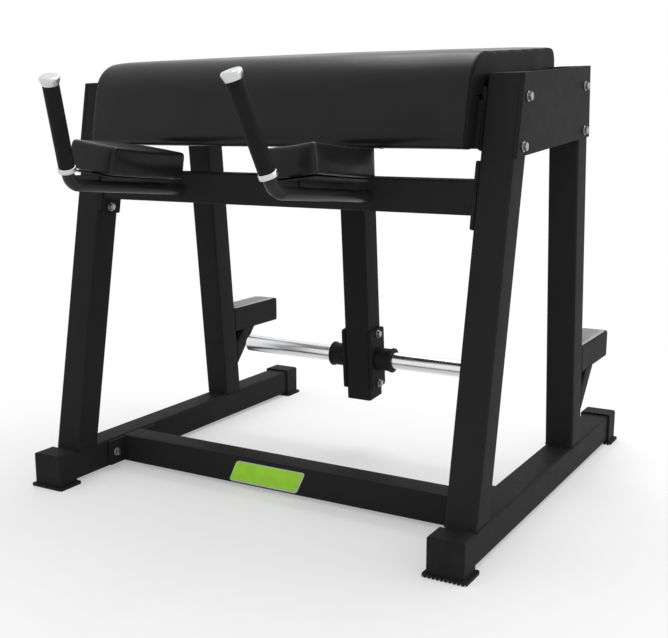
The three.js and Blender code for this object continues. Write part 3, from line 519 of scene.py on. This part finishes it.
# %% All finishes by the record's slot
finishes = {
    "frame_black": powder_coat("satin black powder coat", 0.5, 0.026),
    "pad_vinyl": vinyl("black pad vinyl", 620),
    "elbow_vinyl": vinyl("black elbow vinyl", 760),
    "grip_rubber": rubber("black grip rubber", 0.009, 0.55),
    "foot_rubber": rubber("black foot rubber", 0.013, 0.66),
    "bumper_rubber": rubber("black bumper rubber", 0.012, 0.55),
    "horn_chrome": chrome(),
    "polished_collar": aluminium(),
    "zinc_fastener": zinc(),
    "tread_grip": tread_grip(),
    "board_wood": plywood(),
    "bush_bronze": bronze(),
}
arm_gloss = powder_coat("gloss black powder coat", 0.32, 0.2)
end_vinyl = vinyl("dull black end vinyl", 620, roughness=0.5, specular=0.05)
label_green = label_paint("lime label", (0.36, 0.74, 0.03), 0.4)
label_rim = label_paint("pale label rim", (0.55, 0.58, 0.6), 0.35)
extra_finishes = (arm_gloss, end_vinyl, label_green, label_rim)
print("finishes:", len(finishes) + len(extra_finishes))

# %% [markdown]
# ## The welded frame
#
# The legs, tubes and plates have the right shape in the frame already, so each is copied, its
# loose triangles are merged, flat faces are made one, and the sharp edges get a small radius.
# The corners of the tubes are round by themselves. A weighted normal modifier keeps the broad
# faces flat, so that only the corners catch a highlight.

# %% Copies with rounded edges
edge_radius = {
    "frame_black": 0.0009,
    "grip_rubber": 0.0012,
    "foot_rubber": 0.0009,
    "polished_collar": 0.0007,
    "board_wood": 0.0008,
    "bush_bronze": 0.0004,
    "zinc_fastener": 0.0006,
}


def merged_copy(node):
    """The node's own body, with its triangles joined into one skin."""
    body = bmesh.new()
    body.from_mesh(nodes[node].data)
    bmesh.ops.remove_doubles(body, verts=body.verts, dist=merge_distance)
    bmesh.ops.dissolve_limit(
        body,
        angle_limit=flat_angle,
        verts=body.verts,
        edges=body.edges,
        delimit=set(),
    )
    return body


def softened(node):
    """Adds a node's own body with a small radius on its sharp edges."""
    slot = slot_of[node]
    body = rounded(merged_copy(node), edge_radius[slot])
    skin = arm_gloss if "elbow_arm" in node else finishes[slot]
    finished(f"{node}_edged", body, skin, node)


modelled_here = ("main_pad", "elbow_pad", "bolt", "weight_horn", "horn_bumper", "step_tread")
kept = [node for node in nodes if not any(word in node for word in modelled_here)]
for node in kept:
    softened(node)
print("edged copies:", len(kept))

# %% [markdown]
# ### Weld seams and small plates
#
# A weld is a row of small scales that the torch leaves one after another, so its radius swells
# and shrinks along its length. One runs up the front edge of each side plate, and four close
# the foot of each leg. A web under each elbow rest stiffens the bend of its tube. Behind each
# lower corner of the main pad, a dark rubber block fills the gap as painted shade: it stands
# for the shadow that lies between the pad's end and the leg.

# %% Weld beads
weld_radius = 0.003
weld_pitch = 0.0032
weld_steps = 14
valley_share = 0.84
crest_share = 0.6
foot_slice = 0.001
foot_inset = 0.007
seam_inset_x = 0.0012
seam_inset_y = 0.0022


def weld(start, end):
    """A bead with small scales between two points."""
    run = Vector(end) - Vector(start)
    count = int(run.length / weld_pitch)
    valley = weld_radius * valley_share
    profile = [(0, 0)]
    for i in range(count):
        height = i * run.length / count
        profile.append((valley, height))
        profile.append((weld_radius, height + run.length / count * crest_share))
    profile += [(valley, run.length), (0, run.length)]
    turn = run.to_track_quat("Z", "Y").to_matrix().to_4x4()
    bead = turned(profile, steps=weld_steps, ring=False)
    return placed(bead, Matrix.Translation(start) @ turn)


def foot_welds(leg):
    """Four beads where a leg stands on its runner."""
    low, high = box_of(leg)
    foot = [v.co.y for v in nodes[leg].data.vertices if v.co.z < low.z + foot_slice]
    front, back = min(foot), max(foot)
    left, right = low.x + foot_inset, high.x - foot_inset
    near, far = front + foot_inset, back - foot_inset
    lines = [((left, y, low.z), (right, y, low.z)) for y in (front, back)]
    lines += [((x, near, low.z), (x, far, low.z)) for x in (low.x, high.x)]
    return joined(*[weld(*line) for line in lines])


for name, side in sides:
    for leg in (f"front_leg_{name}", f"rear_leg_{name}"):
        added(f"weld_{leg}", foot_welds(leg), finishes["frame_black"], leg)
    plate_node = f"side_plate_{name}"
    points = [v.co for v in nodes[plate_node].data.vertices]
    middle_height = middle_of(plate_node).z
    lower = min(points, key=lambda point: point.y)
    upper = min((p for p in points if p.z > middle_height), key=lambda point: point.y)
    edge_x = side * (min(abs(p.x) for p in points) - seam_inset_x)
    ends = [(edge_x, p.y + seam_inset_y, p.z) for p in (lower, upper)]
    added(f"weld_{plate_node}", weld(*ends), finishes["frame_black"], plate_node)

# %% Webs under the elbow rests
arm_root_x = 0.282
arm_rise = radians(4.4)
arm_roll = radians(7.6)
arm_radius = 0.015
web_thickness = 0.006
web_edge = 0.0008
web_outline = [
    (-0.311, 0.0125),
    (-0.385, 0.0125),
    (-0.400, 0.0225),
    (-0.336, 0.0262),
    (-0.311, 0.0262),
]
for name, side in sides:
    node = f"elbow_arm_{name}"
    low, high = box_of(node)
    root = (side * arm_root_x, high.y, low.z + arm_radius / cos(arm_rise))
    rest = Matrix.Translation(root) @ Matrix.Rotation(-arm_rise, 4, "X")
    rest = rest @ Matrix.Rotation(-side * arm_roll, 4, "Y")
    web = rounded(prism(web_outline, web_thickness), web_edge)
    added(f"elbow_web_{name}", placed(web, rest), arm_gloss, node)

# %% Painted shade: dark blocks behind the main pad's lower corners
shade_block_middle_x = 0.55225
shade_block_thickness = 0.0135
shade_block_edge = 0.001
shade_block_outline = [(-0.2515, 0.939), (-0.2356, 0.939), (-0.215, 1.046), (-0.231, 1.046)]
# Each block is painted shade: a dark filler put where the gap behind the pad's end lies in
# shadow.
for name, side in sides:
    block = rounded(prism(shade_block_outline, shade_block_thickness), shade_block_edge)
    block = placed(block, Matrix.Translation((side * shade_block_middle_x, 0, 0)))
    added(f"pad_end_shade_block_{name}", block, finishes["bumper_rubber"], "pad_board")

# %% [markdown]
# ## Bolts
#
# A forged hexagon head has its crown chamfered in a lathe, so the flats end in arcs. A hexagon
# whose sides are divided can do that: every point of the top edge sinks by its distance past
# the chamfer's circle. A washer sits under each head, and the shank goes on into the frame.

# %% Sizes of an M12 bolt
head_flats = 0.018
head_height = 0.0075
flat_to_corner = radians(30)
flat_cuts = 5
washer_radius = 0.012
washer_height = 0.0025
washer_edge = 0.0003
washer_steps = 32
shank_radius = 0.006
shank_steps = 20
chamfer_circle = head_flats * 0.47
chamfer_slope = radians(30)
thread_pitch = 0.00175
thread_depth = 0.0008
crest_loss = 0.1
tip_chamfer = 0.2


# %% Head, washer and shank
def hexagon_head(height):
    """Hexagon on z = 0 with a round chamfer on top and a flat crown."""
    body = bmesh.new()
    bmesh.ops.create_circle(body, segments=6, radius=head_flats / 2 / cos(flat_to_corner))
    bmesh.ops.subdivide_edges(body, edges=body.edges, cuts=flat_cuts)
    rim = bmesh.ops.extrude_edge_only(body, edges=body.edges[:])["geom"]
    for point in points_in(rim):
        reach = point.co.xy.length - chamfer_circle
        point.co.z = height - reach * tan(chamfer_slope)
    crown = bmesh.ops.extrude_edge_only(body, edges=edges_in(rim))["geom"]
    for point in points_in(crown):
        point.co = (*(point.co.xy.normalized() * chamfer_circle), height)
    bmesh.ops.holes_fill(body, edges=body.edges)
    return closed(body)


def washer():
    ring = [
        (shank_radius, 0),
        (washer_radius, 0),
        (washer_radius, washer_height),
        (shank_radius, washer_height),
    ]
    return rounded(turned(ring, steps=washer_steps), washer_edge, segments=1)


def shank(start, end):
    """Threaded shank between two heights, with a chamfered tip at the lower one."""
    core = shank_radius - thread_depth
    crest = shank_radius - thread_depth * crest_loss
    first = start + core * tip_chamfer
    profile = [(0, start), (core * (1 - tip_chamfer), start), (core, first)]
    turns = int((end - start) / thread_pitch) - 1
    for i in range(turns):
        height = first + i * thread_pitch
        profile.append((crest, height + thread_pitch / 2))
        profile.append((core, height + thread_pitch))
    profile += [(core, end), (0, end)]
    return turned(profile, steps=shank_steps, ring=False)


# %% Placing every bolt
def bolt_body(length, nut_at=None):
    """Bolt whose washer lies on z = 0 and whose shank points down."""
    parts = [
        placed(hexagon_head(head_height), Matrix.Translation((0, 0, washer_height))),
        washer(),
        shank(washer_height - length, washer_height),
    ]
    if nut_at is not None:
        flip = Matrix.Translation((0, 0, nut_at)) @ Matrix.Rotation(pi, 4, "X")
        nut_place = flip @ Matrix.Translation((0, 0, washer_height))
        parts += [placed(hexagon_head(head_height), nut_place), placed(washer(), flip)]
    return joined(*parts)


def set_bolt(node, head_side, nut_at=None):
    """Puts a bolt across the machine, its head towards head_side in X."""
    low, high = box_of(node)
    middle = (low + high) / 2
    tip, outer = (low.x, high.x) if head_side > 0 else (high.x, low.x)
    seat = outer - head_side * (head_height + washer_height)
    place = Matrix.Translation((seat, middle.y, middle.z))
    place = place @ Matrix.Rotation(head_side * pi / 2, 4, "Y")
    body = placed(bolt_body(abs(seat - tip) + washer_height, nut_at), place)
    finished(f"{node}_hex", body, finishes["zinc_fastener"], node, weighted=False)


for name, side in sides:
    for row in ("front", "rear"):
        for end in ("lower", "upper"):
            set_bolt(f"seat_bolt_{row}_{end}_{name}", side)
        set_bolt(f"base_bolt_{row}_{name}", -side)
    for end in ("lower", "upper"):
        set_bolt(f"beam_bolt_{end}_{name}", -side)

# %% [markdown]
# ## The weight horns
#
# Each horn is a chrome sleeve on a black plate, and two long bolts clamp both plates against
# the pendulum. A rubber bumper sits at the root of the sleeve, so that a weight plate stops
# softly. The pendulum hangs a little out of plumb, and the two bolts give that lean.

# %% The horns' own frame
horn_bolts = [middle_of(f"horn_bolt_{end}") for end in ("lower", "upper")]
across = horn_bolts[1] - horn_bolts[0]
lean = atan2(-across.y, across.z)
horn_middle = (horn_bolts[0] + horn_bolts[1]) / 2
clamp_face = box_of("horn_bolt_lower")[1].x - head_height - washer_height
for end in ("lower", "upper"):
    set_bolt(f"horn_bolt_{end}", 1, nut_at=-2 * clamp_face)
print("pendulum leans by", round(lean * 180 / pi, 2), "degrees")

# %% Sleeves, plates and bumpers
horn_steps = 64
sleeve_radius = 0.025
sleeve_wall = 0.004
sleeve_edge = 0.0025
plate_size = (0.184, 0.084)
plate_thickness = 0.010
plate_corner = 0.008
plate_edge = 0.001
bumper_neck = 0.034
bumper_lip = 0.037
bumper_lip_length = 0.011
bumper_lip_land = 0.6
bumper_edge = 0.0018
bumper_sharp = radians(25)
running_gap = 0.0003


def distances(node, side):
    """A node's nearest and farthest distance from the machine's middle plane."""
    low, high = box_of(node)
    return (low.x, high.x) if side > 0 else (-high.x, -low.x)


for name, side in sides:
    node = f"weight_horn_{name}"
    root, tip = distances(node, side)
    length = tip - root
    outward = Matrix.Translation((side * root, horn_middle.y, horn_middle.z))
    outward = outward @ Matrix.Rotation(lean, 4, "X") @ Matrix.Rotation(side * pi / 2, 4, "Y")
    inner = sleeve_radius - sleeve_wall
    sleeve = turned(
        [
            (inner, 0),
            (sleeve_radius, 0),
            (sleeve_radius, length),
            (0, length),
            (0, length - sleeve_wall),
            (inner, length - sleeve_wall),
        ],
        steps=horn_steps,
    )
    sleeve = placed(rounded(sleeve, sleeve_edge, segments=4), outward)
    finished(f"horn_sleeve_{name}", sleeve, finishes["horn_chrome"], node)
    clamp = rounded(plate(*plate_size, plate_thickness, plate_corner), plate_edge)
    clamp = placed(clamp, outward)
    clamp_piece = finished(f"horn_plate_{name}", clamp, finishes["frame_black"], node)
    bumper_node = f"horn_bumper_{name}"
    start, end = (distance - root for distance in distances(bumper_node, side))
    bore = sleeve_radius + running_gap
    bumper = turned(
        [
            (bore, start),
            (bumper_neck, start),
            (bumper_neck, end - bumper_lip_length),
            (bumper_lip, end - bumper_lip_length * bumper_lip_land),
            (bumper_lip, end),
            (bore, end),
        ],
        steps=horn_steps,
    )
    bumper = rounded(bumper, bumper_edge, segments=3, sharp=bumper_sharp)
    bumper = placed(bumper, outward)
    finished(f"bumper_{name}", bumper, finishes["bumper_rubber"], bumper_node)

# %% [markdown]
# ## The foot treads
#
# A tread is a thin grey plate with a raised rim. Inside the rim, ribs run across the step. The
# rim is a band that is left when the plate's top face is inset and the inner part sinks, and
# each rib is a narrow plate of its own, sunk a little way into the base.

# %% Treads
tread_corner = 0.006
tread_rim = 0.006
rib_pitch = 0.009
rib_width = 0.0045
rib_rise = 0.0009
rib_depth = rib_rise * 1.5
rib_corner = rib_width * 0.45
tread_edge = 0.0003


def tread_body(width, length, thickness):
    """A rimmed plate on z = 0 with ribs across its sunk field."""
    base = plate(width, length, thickness, tread_corner)
    field = framed_top(base, tread_rim)
    grown = bmesh.ops.extrude_face_region(base, geom=[field])
    bmesh.ops.translate(base, vec=(0, 0, -rib_rise), verts=points_in(grown["geom"]))
    base = rounded(closed(base), tread_edge, segments=1)
    inner_width = width - 2 * tread_rim - rib_width
    inner_length = length - 2 * tread_rim
    count = int(inner_length / rib_pitch)
    start = -rib_pitch * (count - 1) / 2
    ribs = []
    for i in range(count):
        rib = plate(inner_width, rib_width, rib_depth, rib_corner, corner_steps=3)
        place = (0, start + i * rib_pitch, thickness - rib_depth)
        rib = rounded(rib, tread_edge, segments=1)
        ribs.append(placed(rib, Matrix.Translation(place)))
    return joined(base, *ribs)


for name, side in sides:
    node = f"step_tread_{name}"
    low, high = box_of(node)
    body = tread_body(*(high - low))
    place = Matrix.Translation(((low.x + high.x) / 2, (low.y + high.y) / 2, low.z))
    finished(f"tread_{name}", placed(body, place), finishes["tread_grip"], node)

# %% [markdown]
# ## Padded pieces
#
# The pads are foam blocks in tight vinyl. A soft solid from the frame gives the block. It is
# remeshed into even small faces that keep to its surface, shrunk a little, and blown up by a
# cloth simulation with pressure, so that its faces swell and its corners stay drawn. Points
# that lie on the board or plate are held, and no point may move further than a few millimetres.
# The cover is sewn tight, so the small wrinkles that the simulation leaves are averaged out
# between neighbours.

# %% Remeshing and swelling
simulated_frames = 20
smoothing_rounds = 60
snapped_rounds = 5
free_rounds = 4
smooth_factor = 0.5
cover_pressure = 4.0
cover_stiffness = 25
cloth_quality = 5
least_length = 1e-9


def squared_block(node, depth, edge):
    """A block whose round ends are cut off, drawn out again and given a smaller edge."""
    body = merged_copy(node)
    low, high = box_of(node)
    for side in (-1, 1):
        cut = bmesh.ops.bisect_plane(
            body,
            geom=all_of(body),
            plane_co=(side * (high.x - depth), 0, 0),
            plane_no=(side, 0, 0),
            dist=merge_distance,
            clear_outer=True,
        )
        ring = edges_in(cut["geom_cut"])
        grown = bmesh.ops.extrude_edge_only(body, edges=ring)["geom"]
        rim = [line for line in edges_in(grown) if line.is_boundary]
        bmesh.ops.translate(body, vec=(side * depth, 0, 0), verts=points_in(grown))
        bmesh.ops.holes_fill(body, edges=rim)
        bevelled(body, rim, edge, segments=4)
    return closed(body)


def even_skin(body, voxel):
    """A body as a mesh with even faces."""
    block = bpy.data.objects.new("block", mesh_from("block", body))
    bpy.context.scene.collection.objects.link(block)
    remesh = block.modifiers.new("even faces", "REMESH")
    remesh.mode = "VOXEL"
    remesh.voxel_size = voxel
    graph = bpy.context.evaluated_depsgraph_get()
    even = bpy.data.meshes.new_from_object(block.evaluated_get(graph))
    bpy.data.objects.remove(block)
    return even


def relaxed(shape, surface, shrink):
    """Evens the points out on the block's surface, rounds its facets and draws the skin in."""
    body = bmesh.new()
    body.from_mesh(shape)
    for number in range(snapped_rounds + free_rounds):
        bmesh.ops.smooth_vert(
            body,
            verts=body.verts,
            factor=smooth_factor,
            use_axis_x=True,
            use_axis_y=True,
            use_axis_z=True,
        )
        if number < snapped_rounds:
            for point in body.verts:
                point.co = surface.find_nearest(point.co)[0]
    body.normal_update()
    for point in body.verts:
        point.co -= point.normal * shrink
    body.to_mesh(shape)
    body.free()


def evened(shape, steps, rounds):
    """Averages each point's step with its neighbours' steps, again and again."""
    pairs = np.empty(len(shape.edges) * 2, dtype=np.int32)
    shape.edges.foreach_get("vertices", pairs)
    first, second = pairs[0::2], pairs[1::2]
    count = np.bincount(pairs, minlength=len(steps))[:, None]
    for _ in range(rounds):
        total = np.zeros_like(steps)
        np.add.at(total, first, steps[second])
        np.add.at(total, second, steps[first])
        steps = (steps + total / count) / 2
    return steps


def swollen(piece, held, travel):
    """Blows the cover up, with the held points pinned and every other one capped."""
    start = np.array([v.co[:] for v in piece.data.vertices])
    group = piece.vertex_groups.new(name="held")
    group.add(held, 1.0, "REPLACE")
    cloth = piece.modifiers.new("cover", "CLOTH")
    cloth.settings.vertex_group_mass = "held"
    cloth.settings.use_pressure = True
    cloth.settings.uniform_pressure_force = cover_pressure
    cloth.settings.effector_weights.gravity = 0
    cloth.settings.tension_stiffness = cover_stiffness
    cloth.settings.compression_stiffness = cover_stiffness
    cloth.settings.quality = cloth_quality
    cloth.collision_settings.use_collision = False
    scene = bpy.context.scene
    for number in range(1, simulated_frames + 1):
        scene.frame_set(number)
    graph = bpy.context.evaluated_depsgraph_get()
    result = bpy.data.meshes.new_from_object(piece.evaluated_get(graph))
    steps = np.array([v.co[:] for v in result.vertices]) - start
    lengths = np.linalg.norm(steps, axis=1)[:, None]
    steps = steps * np.minimum(1, travel / np.maximum(lengths, least_length))
    steps = evened(piece.data, steps, smoothing_rounds)
    piece.data.vertices.foreach_set("co", (start + steps).ravel())
    piece.modifiers.remove(cloth)
    piece.vertex_groups.remove(group)
    bpy.data.meshes.remove(result)
    scene.frame_set(1)


# %% [markdown]
# The cover is sewn from a long wrap and two end panels. Their seam is a narrow valley that runs
# round each end, so it is cut into the skin after the simulation: planes slice the mesh at the
# valley's two lips and its floor, and the floor's points sink along their normals.

# %% Sewing a seam
seam_width = 0.0024
seam_depth = 0.0009


def sewn(body, place, direction):
    """Cuts a seam valley where a plane crosses the skin."""
    floor = []
    for shift in (-seam_width, -seam_width / 2, 0, seam_width / 2, seam_width):
        cut = bmesh.ops.bisect_plane(
            body,
            geom=all_of(body),
            plane_co=place + direction * shift,
            plane_no=direction,
            dist=merge_distance,
        )
        depth = 1 - abs(shift) / seam_width
        floor.append((points_in(cut["geom_cut"]), depth))
    body.normal_update()
    for points, depth in floor:
        for point in points:
            point.co -= point.normal * seam_depth * depth


# %% From a block to a cushion
shrink_share = 0.45
reach_share = 1.6
skin_fairness = 0.4


def padded_piece(name, node, block, support, voxel, travel, seams):
    """A simulated cushion that stands for a soft node and rests on a support."""
    surface = BVHTree.FromBMesh(block)
    skin = even_skin(block, voxel)
    relaxed(skin, surface, travel * shrink_share)
    piece = bpy.data.objects.new(name, skin)
    bpy.context.scene.collection.objects.link(piece)
    carrier = merged_copy(support)
    rest = BVHTree.FromBMesh(carrier)
    carrier.free()
    reach = travel * reach_share
    held = [v.index for v in skin.vertices if rest.find_nearest(v.co, reach)[0]]
    print(name, "points:", len(skin.vertices), "held:", len(held))
    swollen(piece, held, travel)
    body = bmesh.new()
    body.from_mesh(skin)
    bmesh.ops.subdivide_edges(
        body,
        edges=body.edges,
        cuts=1,
        use_grid_fill=True,
        smooth=skin_fairness,
    )
    for place, direction in seams:
        sewn(body, Vector(place), Vector(direction).normalized())
    body.to_mesh(skin)
    body.free()
    skin.shade_smooth()
    skin.materials.clear()
    skin.materials.append(finishes[slot_of[node]])
    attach(piece, body_of[node])
    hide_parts(node)
    return piece


# %% The main pad
pad_voxel = 0.0065
pad_travel = 0.0035
seam_from_end = 0.010
pad_end_depth = 0.02
pad_end_edge = 0.010
low, high = box_of("main_pad")
pad_seams = [((side * (high.x - seam_from_end), 0, 0), (1, 0, 0)) for _, side in sides]
pad_block = squared_block("main_pad", pad_end_depth, pad_end_edge)
pad_cover = padded_piece(
    "pad_cover",
    "main_pad",
    pad_block,
    "pad_board",
    pad_voxel,
    pad_travel,
    pad_seams,
)
pad_cover.data.materials.append(end_vinyl)
for face in pad_cover.data.polygons:
    if abs(face.center.x) > high.x - seam_from_end:
        face.material_index = 1

# %% The elbow pads
elbow_voxel = 0.0042
elbow_travel = 0.003
for name, side in sides:
    node = f"elbow_pad_{name}"
    block = merged_copy(node)
    arm = f"elbow_arm_{name}"
    cover = f"elbow_cover_{name}"
    padded_piece(cover, node, block, arm, elbow_voxel, elbow_travel, [])

# %% [markdown]
# ## The label
#
# A thin plate with round corners lies on the front of the base tube, and its ends lean to the
# right. Its top face is inset, so that the pale rim and the lime field are faces of one body
# with two finishes.

# %% Blank label
label_middle_x = -0.049
label_size = (0.222, 0.062)
label_corner = 0.009
label_thickness = 0.0012
label_level = 0.94
label_rim_width = 0.0028
label_lean = 0.46
low, high = box_of("base_cross_tube")
tube_half = (high.z - low.z) / 2
label_front = (low.y + high.y) / 2 - tube_half
label = plate(*label_size, label_thickness, label_corner, corner_steps=8)
framed_top(label, label_rim_width).material_index = 1
slant = Matrix.Identity(4)
slant[0][1] = label_lean
upright = Matrix.Rotation(pi / 2, 4, "X") @ slant
label_place = (label_middle_x, label_front, low.z + tube_half * label_level)
placed(label, Matrix.Translation(label_place) @ upright)
label_plate = added("label_plate", label, label_rim, "base_cross_tube")
label_plate.data.materials.append(label_green)

# %% [markdown]
# ## Studio
#
# The machine stands on a plain pale floor in a white room. The world is white for the camera
# and for reflections, and dimmer as a light, so that black paint stays black. Two large soft
# lamps, above and to the right, shape the sides as in the picture.

# %% World
room_light = 0.8


def calculated(tree, operation, first, second, clamp=False):
    """A Math node on two sockets or numbers."""
    node = tree.nodes.new("ShaderNodeMath")
    node.operation = operation
    node.use_clamp = clamp
    for socket, value in zip(node.inputs, (first, second)):
        if isinstance(value, (int, float)):
            socket.default_value = value
        else:
            tree.links.new(value, socket)
    return node.outputs["Value"]


def seen_rays(tree):
    """1 for rays that show a thing by itself or in a mirror, 0 for rays that carry light."""
    rays = tree.nodes.new("ShaderNodeLightPath").outputs
    mirrored = calculated(tree, "ADD", rays["Is Glossy Ray"], rays["Is Transmission Ray"])
    return calculated(tree, "ADD", rays["Is Camera Ray"], mirrored, clamp=True)


def studio_world():
    world = bpy.data.worlds.new("white room")
    world.use_nodes = True
    tree = world.node_tree
    background = tree.nodes["Background"]
    background.inputs["Color"].default_value = (1, 1, 1, 1)
    spread(tree, seen_rays(tree), room_light, 1.0, background.inputs["Strength"], 0, 1)
    bpy.context.scene.world = world


studio_world()

# %% [markdown]
# The floor is white paper. Far from the machine it fades into the white room, for the rays that
# show it, and near the machine it keeps its own shade, so that the shadows lie on it.

# %% Floor
fade_start = 0.8
fade_end = 2.4
fade_least = 0.35
floor_reach = 30


def studio_floor():
    body = bmesh.new()
    bmesh.ops.create_grid(body, x_segments=1, y_segments=1, size=floor_reach)
    shape = mesh_from("studio_floor", body)
    floor = bpy.data.objects.new("studio_floor", shape)
    bpy.context.scene.collection.objects.link(floor)
    colour = (0.9, 0.9, 0.9)
    material, tree, shader = finish("pale floor", colour, roughness=0.9, specular=0.1)
    place = tree.nodes.new("ShaderNodeTexCoord")
    distance = tree.nodes.new("ShaderNodeVectorMath")
    distance.operation = "LENGTH"
    tree.links.new(place.outputs["Object"], distance.inputs[0])
    fade = tree.nodes.new("ShaderNodeMapRange")
    fade.interpolation_type = "SMOOTHSTEP"
    fade.inputs["From Min"].default_value = fade_start
    fade.inputs["From Max"].default_value = fade_end
    fade.inputs["To Min"].default_value = fade_least
    tree.links.new(distance.outputs["Value"], fade.inputs["Value"])
    glow = tree.nodes.new("ShaderNodeEmission")
    blend = tree.nodes.new("ShaderNodeMixShader")
    share = calculated(tree, "MULTIPLY", fade.outputs["Result"], seen_rays(tree))
    tree.links.new(share, blend.inputs["Fac"])
    tree.links.new(shader.outputs["BSDF"], blend.inputs[1])
    tree.links.new(glow.outputs["Emission"], blend.inputs[2])
    tree.links.new(blend.outputs["Shader"], tree.nodes["Material Output"].inputs["Surface"])
    shape.materials.append(material)


studio_floor()


# %% Lamps
def lamp(name, place, target, size, power):
    light = bpy.data.lights.new(name, "AREA")
    light.shape = "SQUARE"
    light.size = size
    light.energy = power
    holder = bpy.data.objects.new(name, light)
    aim = Vector(target) - Vector(place)
    holder.location = place
    holder.rotation_euler = aim.to_track_quat("-Z", "Y").to_euler()
    bpy.context.scene.collection.objects.link(holder)


machine_middle = (0, 0, 0.55)
lamp("top lamp", (-0.1, 1.2, 4.2), machine_middle, size=3.0, power=84)
lamp("right lamp", (4.0, 1.4, 2.4), machine_middle, size=2.5, power=24)

# %% [markdown]
# ## Camera
#
# The picture was taken from the right of the front, a little above half height, looking down by
# under twelve degrees. The lens is long enough to keep the legs nearly straight.

# %% Camera
camera_place = (1.4462, -2.4482, 0.9941)
camera_turn = radians(29.784)
camera_tilt = radians(11.571)
sensor_width = 36
focal_length = 55.534
image_width = 668
centre_drop = 15.89

lens = bpy.data.cameras.new("picture camera")
lens.sensor_width = sensor_width
lens.lens = focal_length
lens.shift_y = centre_drop / image_width
camera = bpy.data.objects.new("picture camera", lens)
camera.location = camera_place
camera.rotation_euler = (pi / 2 - camera_tilt, 0, camera_turn)
bpy.context.scene.collection.objects.link(camera)
bpy.context.scene.camera = camera
bpy.context.scene.view_settings.view_transform = "Standard"
